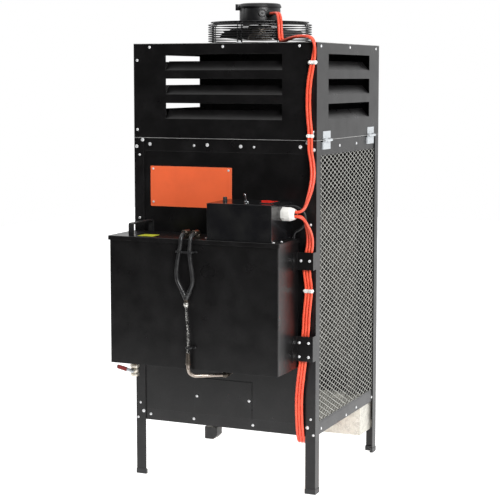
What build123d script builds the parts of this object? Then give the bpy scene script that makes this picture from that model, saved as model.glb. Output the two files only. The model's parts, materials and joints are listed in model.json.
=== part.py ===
from build123d import *
import os
from math import cos, pi, radians, sin, tan

# Free-standing waste oil heater, in millimetres, +Z up.
# Pieces are placed from the cabinet: x from its middle, y back from its front face, z from the floor.
# They are moved at the end, so that the origin lies under the middle of the heater's outline.

# Cabinet
WIDTH = 560
DEPTH = 520
HEIGHT = 1250
SEAM = 983
HALF = WIDTH / 2
MIDDLE_Y = DEPTH / 2
SHEET = 2

# Corner legs and foot caps
LEG_FLANGE = 30
LEG_THICK = 3
CAP_MARGIN = 1
CAP_INNER = 5
CAP_FLOOR = 3
CAP_HEIGHT = 14

# Frame rails and the panels between them
RAIL_LOW = (163, 195)
RAIL_HIGH = (947, SEAM)
LEDGE = 15
LEDGE_LOW = 173
LEDGE_HIGH = 979
FLOOR_LOW = LEDGE_LOW + SHEET
FLOOR_TOP = FLOOR_LOW + SHEET
AIR_HOLE = 30

# Access hole and cover in the front panel
ACCESS_X = (-66, 64)
ACCESS_Z = (208, 288)
COVER_X = (-92, 87)
COVER_Z = (195, 300)

# Bare name plate
PLATE_X = (-229, 26)
PLATE_Z = (789, 904)
PLATE_THICK = 1.2

# Expanded net of the side panels, coarse: one diamond in every cell of a staggered grid
NET_Y = (39, 485)
NET_Z = (199, 943)
NET_COLUMNS = 5
NET_ROWS = 15
NET_STRAND = 7

# Upper cabinet louvres
SLOT_ROWS = ((1174.6, 1219.5), (1106.7, 1151.3), (1038.0, 1082.7))
FRONT_SLOT = 178
SIDE_SLOT = 172
FLAP_REACH = 24
FLAP_RISE = 26
FLAP_THICK = 1.4

# Hinges of the upper cabinet, on the right side
HINGE_X = HALF + 4.3
HINGE_BARREL = 4
HINGE_PIN = 1.5
HINGE_LENGTH = 57
HINGE_STARTS = (46, 416)
HINGE_LEAF = 25
LEAF_THICK = 1.5
KNUCKLE = 19
KNUCKLE_GAP = 0.3

# Fan on the top panel
FAN_HOLE = 132.3
FAN_COLLAR = 132
FAN_COLLAR_IN = 130
FAN_FLANGE = 158
FAN_COLLAR_LOW = 1225
FAN_FLANGE_TOP = HEIGHT + SHEET
GUARD_RADIUS = 152.5
GUARD_TOP = 1316
GUARD_WIRE = 3
GUARD_RINGS = 6
GUARD_SPOKES = 8
GUARD_CENTRE = 62
ROTOR_RADIUS = 125
ROTOR_HUB = 36
ROTOR_LOW = 1262
ROTOR_HIGH = 1300
BLADES = 5
BLADE_PITCH = 25
FAN_SHAFT = 5
MOTOR_RADIUS = 60.5
MOTOR_LIP = 62.5
MOTOR_TOP = 1370
MOTOR_LIP_LOW = 1358
MOTOR_GLAND = (0.75, -0.66)
MOTOR_GLAND_Z = 1338
MOTOR_GLAND_REACH = 80
MOTOR_GLAND_RADIUS = 9

# Oil tank on the front
TANK_X = (-279, 231)
TANK_Y = (-152, -5)
TANK_Z = (358, 713)
TANK_WALL = 2
TANK_FLANGE = 15
TANK_CORNER = 4
GASKET = 2
LID_X = (-283, 235)
LID_Y = (-156, -3)
LID_LOW = 705
LID_TOP = 717
LID_WALL = 1.5
BRACKET_FRONT = -22

# Fittings on the tank lid
COVER_EDGE = -86.5
COVER_GAP = 0.3
GRIP_X = (-224, -208)
GRIP_Y = (-142, -20)
GRIP_TOP = 753
GRIP_THICK = 3
GRIP_BEND = 6
ELBOWS_X = (-50, -21)
ELBOW_Y = -120
ELBOW_Z = 733
ELBOW_RADIUS = 7.5
HOSE_START_Y = -135

# Drain valve under the tank
VALVE = (-247, -70)
VALVE_NECK = 8
VALVE_BODY = 12
VALVE_Z = 323
VALVE_LOW = 305
VALVE_STEM = 4
LEVER_LENGTH = 52
LEVER_SLOPE = 11.7
LEVER_HUB = 8
VALVE_NUT = 11
VALVE_NUT_Z = (346, 354)

# Control box on the tank lid
BOX_X = (21, 211)
BOX_Y = (-152, -2)
BOX_TOP = 818
BOX_WALL = 1.5
KNOB = (43, -80)
KNOB_RADIUS = 7
KNOB_TOP = 830
KNOB_SHAFT = 3
TOGGLE = (107, -80)
TOGGLE_TOP = 841
TOGGLE_BUSH = 5
TOGGLE_BORE = 4.2
TOGGLE_LEAN = 12
ROCKER_X = (162, 188)
ROCKER_Y = (-105, -50)
ROCKER_LEAN = 6
BEZEL_MARGIN = 4
PIVOT = 1
GLAND_BARREL = 17
GLAND_Y = -75
GLAND_Z = 789
GLAND_RADIUS = 19
GLAND_NOSE = 15.9
GLAND_END = 250

# Oil pump in the control box
PUMP_X = (35, 95)
PUMP_Y = (-100, -40)
PUMP_TOP = 777
PUMP_ROTOR = 20
PUMP_SHAFT = 4
PUMP_MOTOR = 27
PUMP_MOTOR_LENGTH = 80
PUMP_SIDE = 15
RUNNING_FIT = 0.06

# Hoses, pipe and cables
HOSE = 11
HOSE_Y = -165
BRAID = 8
PIPE = 10
RED_CABLE = 7.5
SENSOR_CABLE = 7
JOINT = (-36, HOSE_Y, 554)
PIPE_ELBOW = (56, -105.8, 341)
PANEL_GLAND = 6
CLAMP_THICK = 1.8
SADDLE = ((-66, -14), (677, 689), -171)
LOWER_CLAMP = ((-38, -18), (414, 425), -169.5)
TIE_BAND = 1.2
TIE_DOWN = ((250.6, 275.4), (-16.1, -7.9), 571)
TIES_UP = (((256.7, 273.3), (-15.1, -6.9), 995), ((261.4, 280.9), (-15.7, -4.2), 1193))

# Burner, exchanger and flue inside the cabinet
DRUM = 185
DRUM_WALL = 3
DRUM_Z = (300, 985)
DRUM_LID = 188
DRUM_TOP = 1000
POT = 110
POT_Z = (215, 330)
POT_PEDESTAL = 40
POT_WALL = 5
DRUM_FOOT = 10
DRUM_FOOT_CIRCLE = 155
PAN_RADIUS = 90
PAN_BORE = 86
FLAME_RING = 45
FLAME_BORE = 42
HANDLE_HALF = 40
HANDLE_THICK = 10
FLUE = 75
FLUE_Z = 850
FLUE_END = 570
FLUE_INNER = 74
FLUE_BORE = 72.5
FLUE_GAP = 1
FLUE_COLLAR = 93
SPIGOT_START = 522
SHIELD_HALF = 225
SHIELD_Y = (490, 492)
SHIELD_Z = (250, 765)

# Blower under the floor
AIR_BOX_X = (110, 270)
AIR_BOX_Y = (400, 505)
AIR_BOX_Z = (74, 163)
BLOWER = (190, 452)
BLOWER_HOUSING = 45
BLOWER_WHEEL = 38
BLOWER_MOTOR = 30
BLOWER_SHAFT = 3
BLOWER_BLADES = 12
BLOWER_TOP = 127
BLOWER_OUTLET = 72
BLOWER_INLET = 20
FLOAT_X = (-102, -63)
FLOAT_Y = (90, 125)
FLOAT_Z = (100, 134)
FLOAT_STRIP = (-92, -73)

# Outer reach of the whole heater, from the middle of the cabinet's front
LEFT_REACH = -298.1
RIGHT_REACH = HINGE_X + HINGE_BARREL
FRONT_REACH = -172.8
REAR_REACH = FLUE_END
SHIFT_X = -(LEFT_REACH + RIGHT_REACH) / 2
SHIFT_Y = -(FRONT_REACH + REAR_REACH) / 2

# Hand-chosen routes: each point, then the step from one cable to the next beside it
CABLES_DOWN = [
    ((250, -75, 784), (0, 8, 0)),
    ((258, -75, 784), (-1.2, 7.8, 0)),
    ((266, -72, 781), (-3.5, 7, 1)),
    ((271, -67, 775), (-4.8, 5.7, 2.6)),
    ((273, -59, 765), (-5.3, 5, 3.5)),
    ((273.5, -46, 751), (-6.7, 3.6, 3.3)),
    ((272.5, -31, 732), (-7.6, 2.6, 1.6)),
    ((270, -19, 707), (-8.1, 1.2, 0.6)),
    ((263, -13.5, 677), (-8.2, 0, 0)),
    ((257.5, -12, 645), (-8.2, 0, 0)),
    ((258, -12, 615), (-8.2, 0, 0)),
    ((263, -12, 588), (-8.2, 0, 0)),
    ((263, -12, 560), (-8.2, 0, 0)),
    ((257, -12, 510), (-8.2, 0, 0)),
    ((255, -12, 460), (-8.2, 0, 0)),
    ((250, -12, 415), (-8.2, 0, 0)),
    ((246.5, -12, 372), (-8.2, 0, 0)),
    ((240.5, -12, 328), (-8.2, 0, 0)),
    ((235, -12, 272), (-8.2, 0, 0)),
    ((236, -11, 212), (-8.2, 0, 0)),
    ((237.5, -7, 168), (-8.2, 0, 0)),
    ((236, 6, 146), (-8.2, 0, 0)),
    ((232, 32, 139), (-8.2, 0, 0)),
    ((225, 76, 141), (-8.2, 0, 0)),
    ((214, 134, 144), (-8.2, 0, 0)),
    ((203, 198, 143), (-8.2, 0, 0)),
    ((194, 264, 141), (-8.2, 0, 0)),
    ((190, 330, 140), (-8.2, 0, 0)),
    ((190, 400, 140), (-8.2, 0, 0)),
]
CABLES_UP = [
    ((250, -75, 795.3), (0, 8.4, 0)),
    ((258, -75, 795.3), (-1.3, 8.3, 0)),
    ((266, -72, 798.5), (-3.8, 7.4, -1.1)),
    ((271, -66.5, 805), (-5.2, 6, -2.7)),
    ((273, -58, 815), (-5.6, 5.2, -3.6)),
    ((274, -45, 831), (-7, 3.7, -2.8)),
    ((275.5, -29, 855), (-8.2, 1.5, -0.9)),
    ((276.5, -17, 888), (-8.4, 0, 0)),
    ((272, -11.5, 924), (-8.4, 0, 0)),
    ((265, -11, 955), (-8.4, 0, 0)),
    ((265, -11, SEAM), (-8.4, 0, 0)),
]
CABLES_TOP = [
    ((265, -11, SEAM), (-8.4, 0, 0)),
    ((265, -11, 1012), (-8.4, 0, 0)),
    ((260, -9.5, 1048), (-8.4, 0, 0)),
    ((258, -8.5, 1092), (-8.4, 0, 0)),
    ((260, -8.5, 1138), (-8.4, 0, 0)),
    ((268, -9, 1182), (-8.4, 0, 0)),
    ((275, -9.5, 1216), (-7, 4.5, 0)),
    ((277, -10, 1240), (-3, 7.8, 0)),
    ((272, -9, 1256), (0, 8.4, 0)),
    ((259, -4, 1265), (1, 8.3, 0)),
    ((238, 5, 1267), (3, 7.8, 0)),
    ((214, 17, 1266), (3.6, 7.6, 0)),
    ((189, 33, 1262), (4.6, 7, 0)),
    ((164, 60, 1257), (6.2, 5.7, 0)),
    ((142, 94, 1256), (7.1, 4.5, 0)),
    ((126, 124, 1257), (7.4, 4, 0)),
    ((116, 139, 1266), (6.6, 5.2, 0)),
    ((113, 143, 1286), (6.1, 5.8, 0)),
    ((111, 146, 1308), (6.1, 5.8, 0)),
    ((105, 155, 1327), (5.8, 6.1, 0)),
    ((93, 173, 1338), (5.6, 6.2, 0)),
    ((75, 194, 1338), (5.5, 6.25, 0)),
    ((60, 207.2, 1338), (5.5, 6.25, 0)),
]
LEFT_HOSE = [
    (-50, -135, 733),
    (-50, -151, 733),
    (-50.5, -164, 720),
    (-52, -165, 702),
    (-56, -165, 683),
    (-62, -165, 654),
    (-65, -165, 626),
    (-62, -165, 602),
    (-52, -165, 586),
    (-44, -165, 570),
]
RIGHT_HOSE = [
    (-21, -135, 733),
    (-21, -151, 733),
    (-22, -164, 720),
    (-24, -165, 702),
    (-25, -165, 683),
    (-22, -165, 655),
    (-17, -165, 627),
    (-15, -165, 604),
    (-20, -165, 586),
    (-28, -165, 570),
]
SENSOR_LOOP = [
    (211, -20, 806),
    (222, -20, 806),
    (238, -20, 802),
    (252, -20, 791),
    (258, -20, 772),
    (253, -20, 753),
    (240, -20, 742),
    (228, -20, 737),
    (222, -20, 728),
    (222, -20, 717),
]
BRAIDED = [
    (-35, -165, 540),
    (-35, -165, 524),
    (-33, -165, 500),
    (-30, -165, 470),
    (-28, -165, 440),
    (-30, -165, 412),
    (-30, -165, 391),
]
FEED_FRONT = [
    (-30, -165, 377),
    (-30, -165, 363),
    (-27, -163.5, 349.5),
    (-16, -156.2, 341),
    (49, -110.7, 341),
]
FEED_BACK = [
    (56, -90, 341),
    (56, 212, 341),
    (56, 226, 334),
    (56, 232, 320),
]

# Screw heads: place, then the radius of the head
PAN_HEAD = 2
LEG_SCREWS = [
    (253, 978, 5), (272, 959, 5), (263, 935, 3.5), (264, 754, 3.5),
    (266, 212, 3.5), (256, 188, 5), (274, 168, 3.5),
]
RAIL_SCREWS = [
    (-91, 964, 3.5), (-50, 966, 5), (53, 964, 5), (93, 963, 3.5), (-231, 966, 5), (231, 966, 5),
    (-234, 180, 4), (-95, 179, 4), (90, 178, 4), (233, 178, 4), (-227, 727, 3.5),
]
COVER_SCREWS = [(-84, 247, 4), (79, 247, 4)]
SIDE_RAIL_SCREWS = [
    (188, 964, 4), (329, 964, 4), (52, 177, 4), (257, 170, 4), (345, 174, 4), (485, 176, 4),
]
UPPER_FRONT_SCREWS = [
    (-229, 1240, 4), (0, 1240, 4), (229, 1240, 4), (-269, 1203, 4), (-269, 1007, 4),
    (269, 1007, 4),
]
UPPER_SIDE_SCREWS = [(30, 1240, 4), (260, 1240, 4), (490, 1240, 4)]
BRACKETS_Z = ((632, 680), (378, 448))
BRACKET_SCREWS = [(244, 657), (269, 657), (240, 430), (267, 430), (240, 391), (267, 391)]


def block(x, y, z):
    """A box between the two ends given along each axis."""
    size = [high - low for low, high in (x, y, z)]
    centre = [(high + low) / 2 for low, high in (x, y, z)]
    return Pos(*centre) * Box(*size)


def rod(start, end, radius):
    """A round bar between two points."""
    run = Vector(*end) - Vector(*start)
    middle = Vector(*start) + run * 0.5
    return Plane(origin=middle, z_dir=run) * Cylinder(radius, run.length)


def upright(place, radius, low, high):
    """A round bar standing at a place in plan."""
    return Pos(place[0], place[1], (low + high) / 2) * Cylinder(radius, high - low)


def other_side(piece):
    """The piece mirrored to the other side of the cabinet."""
    return mirror(piece, about=Plane.YZ)


def rear(piece):
    """The piece mirrored from the front of the cabinet to its rear."""
    return mirror(piece, about=Plane.XZ.offset(-MIDDLE_Y))


def four_corners(piece):
    """The piece at all four corners of the cabinet."""
    left = [piece, rear(piece)]
    return left + [other_side(each) for each in left]


def bend_radii(points):
    """The largest bend that the runs beside each inner point leave room for."""
    radii = []
    for before, corner, after in zip(points, points[1:], points[2:]):
        run_in = Vector(*corner) - Vector(*before)
        run_out = Vector(*after) - Vector(*corner)
        half_turn = radians(run_in.get_angle(run_out)) / 2
        radii.append(0.45 * min(run_in.length, run_out.length) / tan(half_turn))
    return radii


def tube(name, points, diameter):
    """A round cord, hose or pipe through its points, each corner rounded."""
    radii = bend_radii(points)
    path = FilletPolyline(*points, radius=radii)
    section = Plane(origin=path @ 0, z_dir=path % 0) * Circle(diameter / 2)
    solid = sweep(section, path=path)
    ideal = pi * diameter**2 / 4 * path.length
    print(f"{name}: smallest bend {min(radii):.1f} mm, length {path.length:.0f} mm,"
          f" volume {solid.volume / ideal:.4f} of section times length")
    return solid


def bundle(name, route, places, diameter):
    """Cables side by side: each takes its place in steps from the route."""
    cables = []
    for place in places:
        points = [tuple(Vector(*point) + Vector(*step) * place) for point, step in route]
        cables.append(tube(name, points, diameter))
    return cables


def pan_head(centre, outward, radius):
    """A low screw head on a surface, its edge rounded."""
    tip = Vector(*centre) + Vector(*outward) * PAN_HEAD
    head = rod(centre, tuple(tip), radius)
    rim = head.edges().filter_by(GeomType.CIRCLE).sort_by_distance(tip)[0]
    return fillet(rim, PAN_HEAD * 0.6)


def corner_legs():
    """Four posts of steel angle."""
    front = block((-HALF, -HALF + LEG_FLANGE), (0, LEG_THICK), (CAP_FLOOR, SEAM))
    side = block((-HALF, -HALF + LEG_THICK), (0, LEG_FLANGE), (CAP_FLOOR, SEAM))
    return four_corners(front + side)


def foot_caps():
    """Plastic caps that the legs stand in."""
    long = LEG_FLANGE + CAP_MARGIN
    thick = LEG_THICK + CAP_INNER
    height = (0, CAP_HEIGHT)
    cap = block((-HALF - CAP_MARGIN, -HALF + long), (-CAP_MARGIN, thick), height)
    cap += block((-HALF - CAP_MARGIN, -HALF + thick), (-CAP_MARGIN, long), height)
    return four_corners(cap - corner_legs()[0])


def frame_rails():
    """Eight rails: a strip behind the leg flanges, with a ledge turned inwards."""
    edge = HALF - LEG_THICK
    inner = edge - SHEET
    rails = []
    for strip, ledge in ((RAIL_LOW, LEDGE_LOW), (RAIL_HIGH, LEDGE_HIGH)):
        ledge_z = (ledge, ledge + SHEET)
        front = block((-edge, edge), (LEG_THICK, LEG_THICK + SHEET), strip)
        front += block((-inner, inner), (LEG_THICK + SHEET, LEG_THICK + SHEET + LEDGE), ledge_z)
        back_y = (LEG_THICK + SHEET, DEPTH - LEG_THICK - SHEET)
        side = block((-edge, -inner), back_y, strip)
        side += block(
            (-inner, -inner + LEDGE),
            (back_y[0] + LEDGE, back_y[1] - LEDGE),
            ledge_z,
        )
        rails += [front, rear(front), side, other_side(side)]
    return rails


def front_panel():
    """Panel between the front rails, with its access hole."""
    panel = block(
        (-HALF + LEG_THICK, HALF - LEG_THICK),
        (LEG_THICK, LEG_THICK + SHEET),
        (RAIL_LOW[1], RAIL_HIGH[0]),
    )
    panel -= block(ACCESS_X, (0, LEDGE), ACCESS_Z)
    feed_x, _, feed_z = FEED_BACK[0]
    return [panel - rod((feed_x, 0, feed_z), (feed_x, LEDGE, feed_z), PANEL_GLAND)]


def access_cover():
    """Plate over the access hole."""
    return [block(COVER_X, (LEG_THICK - SHEET, LEG_THICK), COVER_Z)]


def front_plate():
    """Bare plate on the front panel."""
    plate = block(PLATE_X, (LEG_THICK - PLATE_THICK, LEG_THICK), PLATE_Z)
    return [fillet(plate.edges().filter_by(Axis.Y), 2)]


def rear_panel():
    """Rear panel with the flue hole."""
    panel = rear(block(
        (-HALF + LEG_THICK, HALF - LEG_THICK),
        (LEG_THICK, LEG_THICK + SHEET),
        (RAIL_LOW[1], RAIL_HIGH[0]),
    ))
    return [panel - rod((0, DRUM * 2, FLUE_Z), (0, FLUE_END, FLUE_Z), FLUE + FLUE_GAP)]


def rear_heat_shield():
    """Plain plate between the drum and the rear panel, standing on two feet."""
    plate = block((-SHIELD_HALF, SHIELD_HALF), SHIELD_Y, SHIELD_Z)
    foot_x = (-SHIELD_HALF, -SHIELD_HALF + LEG_FLANGE)
    foot = block(foot_x, SHIELD_Y, (FLOOR_TOP, SHIELD_Z[0]))
    toe = block(foot_x, (SHIELD_Y[0] - LEDGE, SHIELD_Y[1]), (FLOOR_TOP, FLOOR_TOP + SHEET))
    return [plate + foot + toe + other_side(foot) + other_side(toe)]


def side_meshes():
    """Two side panels of coarse diamond net inside a plain border."""
    pitch_y = (NET_Y[1] - NET_Y[0]) / NET_COLUMNS
    pitch_z = (NET_Z[1] - NET_Z[0]) / NET_ROWS
    half_y = pitch_y / 2 - NET_STRAND / 2
    half_z = pitch_z / 2 - NET_STRAND / 2
    inner_x = -HALF + LEG_THICK
    holes = []
    for row in range(2 * NET_ROWS - 1):
        staggered = row % 2
        for column in range(NET_COLUMNS - staggered):
            y = NET_Y[0] + pitch_y * (column + 0.5 + staggered / 2)
            z = NET_Z[0] + pitch_z * (row + 1) / 2
            corners = [(inner_x, y - half_y, z), (inner_x, y, z - half_z),
                       (inner_x, y + half_y, z), (inner_x, y, z + half_z)]
            holes.append(Wire.make_polygon(corners))
    y_low = LEG_THICK + SHEET
    y_high = DEPTH - LEG_THICK - SHEET
    z_low = RAIL_LOW[1]
    z_high = RAIL_HIGH[0]
    rim = Wire.make_polygon([(inner_x, y_low, z_low), (inner_x, y_high, z_low),
                             (inner_x, y_high, z_high), (inner_x, y_low, z_high)])
    left = extrude(Face(rim, holes), amount=SHEET, dir=(1, 0, 0))
    return [left, other_side(left)]


def cabinet_floor():
    """Floor plate on the ledges of the lower rails, with the air hole and the blower hole."""
    inner = HALF - LEG_THICK - SHEET
    plate = block((-inner, inner), (LEG_THICK + SHEET, DEPTH - LEG_THICK - SHEET),
                  (FLOOR_LOW, FLOOR_TOP))
    plate -= upright((0, MIDDLE_Y), AIR_HOLE, FLOOR_LOW, FLOOR_TOP)
    return [plate - upright(BLOWER, AIR_HOLE, FLOOR_LOW, FLOOR_TOP)]


def hinge_leaf(start, upwards):
    """A leaf of one hinge: its plate, and the knuckles that it holds."""
    sign = 1 if upwards else -1
    end = start + HINGE_LENGTH
    packed_x = HALF if upwards else HALF - LEG_THICK
    plate_z = sorted((SEAM + sign * (HINGE_BARREL + 1), SEAM + sign * HINGE_LEAF))
    leaf = block((packed_x, HALF + LEAF_THICK), (start, end), plate_z)
    if upwards:
        knuckles = [(start + KNUCKLE + KNUCKLE_GAP, end - KNUCKLE - KNUCKLE_GAP)]
    else:
        knuckles = [(start, start + KNUCKLE), (end - KNUCKLE, end)]
    neck_z = sorted((SEAM + sign, SEAM + sign * (HINGE_BARREL + 1)))
    for y in knuckles:
        leaf += block((HALF, HALF + LEAF_THICK), y, neck_z)
        leaf += rod((HINGE_X, y[0], SEAM), (HINGE_X, y[1], SEAM), HINGE_BARREL)
    bore = HINGE_PIN + (RUNNING_FIT if upwards else 0)
    return leaf - rod((HINGE_X, start, SEAM), (HINGE_X, end, SEAM), bore)


def hinge_lower_leaves():
    """Both lower leaves, and the pins that they hold."""
    leaves = [hinge_leaf(start, False) for start in HINGE_STARTS]
    pins = [rod((HINGE_X, start, SEAM), (HINGE_X, start + HINGE_LENGTH, SEAM), HINGE_PIN)
            for start in HINGE_STARTS]
    return leaves + pins


def hinge_upper_leaves():
    """Both upper leaves, which turn on the pins."""
    return [hinge_leaf(start, True) for start in HINGE_STARTS]


def tank_body():
    """Open-topped tank of folded sheet, with a flange turned inwards."""
    outer = block(TANK_X, TANK_Y, TANK_Z)
    outer = fillet(outer.edges().filter_by(Axis.Z), TANK_CORNER)
    inside = block(
        (TANK_X[0] + TANK_WALL, TANK_X[1] - TANK_WALL),
        (TANK_Y[0] + TANK_WALL, TANK_Y[1] - TANK_WALL),
        (TANK_Z[0] + TANK_WALL, TANK_Z[1] - TANK_WALL),
    )
    inside = fillet(inside.edges().filter_by(Axis.Z), TANK_CORNER - TANK_WALL)
    body = outer - inside - tank_mouth()
    return [body - upright(VALVE, VALVE_NECK / 2, TANK_Z[0], TANK_Z[0] + TANK_WALL)]


def tank_mouth():
    """The clear space inside the tank flange and the gasket."""
    return block(
        (TANK_X[0] + TANK_FLANGE, TANK_X[1] - TANK_FLANGE),
        (TANK_Y[0] + TANK_FLANGE, TANK_Y[1] - TANK_FLANGE),
        (TANK_Z[1] - TANK_WALL, TANK_Z[1] + GASKET),
    )


def tank_gasket():
    """Flat gasket between the tank flange and the lid."""
    ring = block(TANK_X, TANK_Y, (TANK_Z[1], TANK_Z[1] + GASKET))
    ring = fillet(ring.edges().filter_by(Axis.Z), TANK_CORNER)
    return [ring - tank_mouth()]


def cover_space(margin, low, high):
    """The space of the cover in the lid, smaller by a margin all round."""
    space = block(
        (LID_X[0] + LID_WALL + margin, COVER_EDGE - margin),
        (LID_Y[0] + LID_WALL + margin, LID_Y[1] - LID_WALL - margin),
        (low, high),
    )
    return fillet(space.edges().filter_by(Axis.Z), TANK_CORNER - LID_WALL - margin)


def tank_lid():
    """Lid with a rim turned down around the tank, open on the left for its cover."""
    plate_low = TANK_Z[1] + GASKET
    lid = block(LID_X, LID_Y, (LID_LOW, LID_TOP))
    lid = fillet(lid.edges().filter_by(Axis.Z), TANK_CORNER)
    lid = chamfer(lid.faces().sort_by(Axis.Z)[-1].edges(), 0.8)
    lid -= block(
        (LID_X[0] + LID_WALL, LID_X[1] - LID_WALL),
        (LID_Y[0] + LID_WALL, LID_Y[1] - LID_WALL),
        (LID_LOW, plate_low),
    )
    return [lid - cover_space(0, LID_LOW, LID_TOP)]


def lid_cover():
    """Cover of the filling opening, which lifts off the gasket."""
    return [cover_space(COVER_GAP, TANK_Z[1] + GASKET, LID_TOP)]


def cover_grip():
    """Flat strap bent into a handle on the cover, from its front to its rear."""
    strap_outside = block(GRIP_X, GRIP_Y, (LID_TOP, GRIP_TOP))
    top_edges = strap_outside.edges().filter_by(Axis.X).group_by(Axis.Z)[-1]
    strap_outside = fillet(top_edges, GRIP_BEND)
    gap = block(
        GRIP_X,
        (GRIP_Y[0] + GRIP_THICK, GRIP_Y[1] - GRIP_THICK),
        (LID_TOP, GRIP_TOP - GRIP_THICK),
    )
    gap = fillet(gap.edges().filter_by(Axis.X).group_by(Axis.Z)[-1], GRIP_BEND - GRIP_THICK)
    return [strap_outside - gap]


def tank_brackets():
    """Two straps on the right that stand out over the cables, and two pads on the left."""
    brackets = []
    front = BRACKET_FRONT
    for z in BRACKETS_Z:
        strap = block((TANK_X[1], HALF), (front, front + SHEET), z)
        strap += block((TANK_X[1], TANK_X[1] + SHEET), (front - LEG_FLANGE, front + SHEET), z)
        strap += block((HALF - SHEET, HALF), (front, 0), z)
        pad = block((-HALF + 5, -HALF + LEG_FLANGE - 5), (TANK_Y[1], 0), z)
        brackets += [strap, pad]
    return brackets


def drain_valve():
    """Ball valve under the tank: neck, body, outlet and the stem of its lever."""
    x, y = VALVE
    valve = upright(VALVE, VALVE_NECK, VALVE_Z, TANK_Z[0])
    nut_low, nut_high = VALVE_NUT_Z
    valve += Pos(x, y, nut_low) * extrude(RegularPolygon(VALVE_NUT, 6), nut_high - nut_low)
    valve += Pos(x, y, VALVE_Z) * Sphere(VALVE_BODY)
    valve += upright(VALVE, VALVE_NECK + 1, VALVE_LOW, VALVE_Z)
    valve += rod((x, y, VALVE_Z), (x, y - VALVE_BODY - 8, VALVE_Z), VALVE_STEM)
    valve += rod((x, y, VALVE_Z), (x, y - VALVE_BODY - 2, VALVE_Z), VALVE_STEM + 3)
    return [valve - upright(VALVE, VALVE_NECK / 2, VALVE_LOW, TANK_Z[0])
            + upright(VALVE, VALVE_NECK / 2, VALVE_Z - 4, VALVE_Z + 4)]


def drain_lever():
    """Lever on the valve stem, closed: it points out to the left, a little upwards."""
    x, y = VALVE
    near = y - VALVE_BODY - 3
    far = near - 4
    hub = rod((0, near, 0), (0, far, 0), LEVER_HUB)
    blade = block((-LEVER_LENGTH, 0), (far, far + 2.5), (-5, 5))
    blade = fillet(blade.edges().filter_by(Axis.Y).group_by(Axis.X)[0], 4.5)
    lever = hub + blade - rod((0, near + 1, 0), (0, far - 1, 0), VALVE_STEM + RUNNING_FIT)
    return [Pos(x, 0, VALVE_Z) * Rot(0, LEVER_SLOPE, 0) * lever]


def rocker_window(margin, low, high):
    """The space of the rocker switch, wider by a margin all round."""
    return block(
        (ROCKER_X[0] - margin, ROCKER_X[1] + margin),
        (ROCKER_Y[0] - margin, ROCKER_Y[1] + margin),
        (low, high),
    )


def control_box():
    """Box on the lid, open below, with holes for its controls and its cables."""
    box = block(BOX_X, BOX_Y, (LID_TOP, BOX_TOP))
    box = fillet(box.edges().filter_by(Axis.Z) + box.edges().filter_by(Axis.X).group_by(Axis.Z)[-1]
                 + box.edges().filter_by(Axis.Y).group_by(Axis.Z)[-1], 1.4)
    box -= block(
        (BOX_X[0] + BOX_WALL, BOX_X[1] - BOX_WALL),
        (BOX_Y[0] + BOX_WALL, BOX_Y[1] - BOX_WALL),
        (LID_TOP, BOX_TOP - BOX_WALL),
    )
    box -= upright(KNOB, KNOB_SHAFT + 1, BOX_TOP - BOX_WALL, BOX_TOP)
    box -= upright(TOGGLE, TOGGLE_BUSH, BOX_TOP - BOX_WALL, BOX_TOP)
    box -= rocker_window(2, BOX_TOP - BOX_WALL, BOX_TOP)
    wall = (BOX_X[1] - BOX_WALL, BOX_X[1])
    box -= rod((wall[0], GLAND_Y, GLAND_Z), (wall[1], GLAND_Y, GLAND_Z), GLAND_NOSE - 4)
    return [box]


def switch_bodies():
    """The fixed parts of the knob's, the toggle's and the rocker's switches."""
    under = BOX_TOP - BOX_WALL
    knob = upright(KNOB, 9, under - 14, under)
    knob += upright(KNOB, KNOB_SHAFT, under, KNOB_TOP - 4)
    toggle = block((TOGGLE[0] - 7, TOGGLE[0] + 7), (TOGGLE[1] - 10, TOGGLE[1] + 10),
                   (under - 20, under))
    toggle += upright(TOGGLE, TOGGLE_BUSH, under, BOX_TOP + 3)
    toggle += Pos(TOGGLE[0], TOGGLE[1], BOX_TOP) * extrude(RegularPolygon(8, 6), 2)
    toggle -= upright(TOGGLE, TOGGLE_BORE, under - 8, BOX_TOP + 3)
    rocker = rocker_window(2, under - 30, BOX_TOP)
    rocker += rocker_window(BEZEL_MARGIN, BOX_TOP, BOX_TOP + 2)
    rocker -= rocker_window(0.5, under - 12, BOX_TOP + 2)
    return [knob, toggle, rocker]


def selector_knob():
    """Knob on the selector's shaft."""
    knob = upright(KNOB, KNOB_RADIUS, BOX_TOP + 0.5, KNOB_TOP)
    knob = fillet(knob.faces().sort_by(Axis.Z)[-1].edges(), 1.5)
    return [knob - upright(KNOB, KNOB_SHAFT + RUNNING_FIT, BOX_TOP, KNOB_TOP - 3)]


def toggle_lever():
    """Bat of the toggle switch, leaning to the left, on its ball and pivot in the bush."""
    pivot_end = TOGGLE_BORE - 0.1
    ball = Sphere(TOGGLE_BORE - 0.3) + rod((0, -pivot_end, 0), (0, pivot_end, 0), PIVOT)
    neck = rod((0, 0, 0), (0, 0, 8), 1.9)
    length = TOGGLE_TOP - BOX_TOP - 2
    bat = Pos(0, 0, 8 + (length - 8) / 2) * Cone(1.9, 3.5, length - 8)
    bat += Pos(0, 0, length) * Sphere(3.5)
    lean = Rot(0, -TOGGLE_LEAN, 0) * (ball + neck + bat)
    return [Pos(TOGGLE[0], TOGGLE[1], BOX_TOP - 1) * lean]


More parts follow.
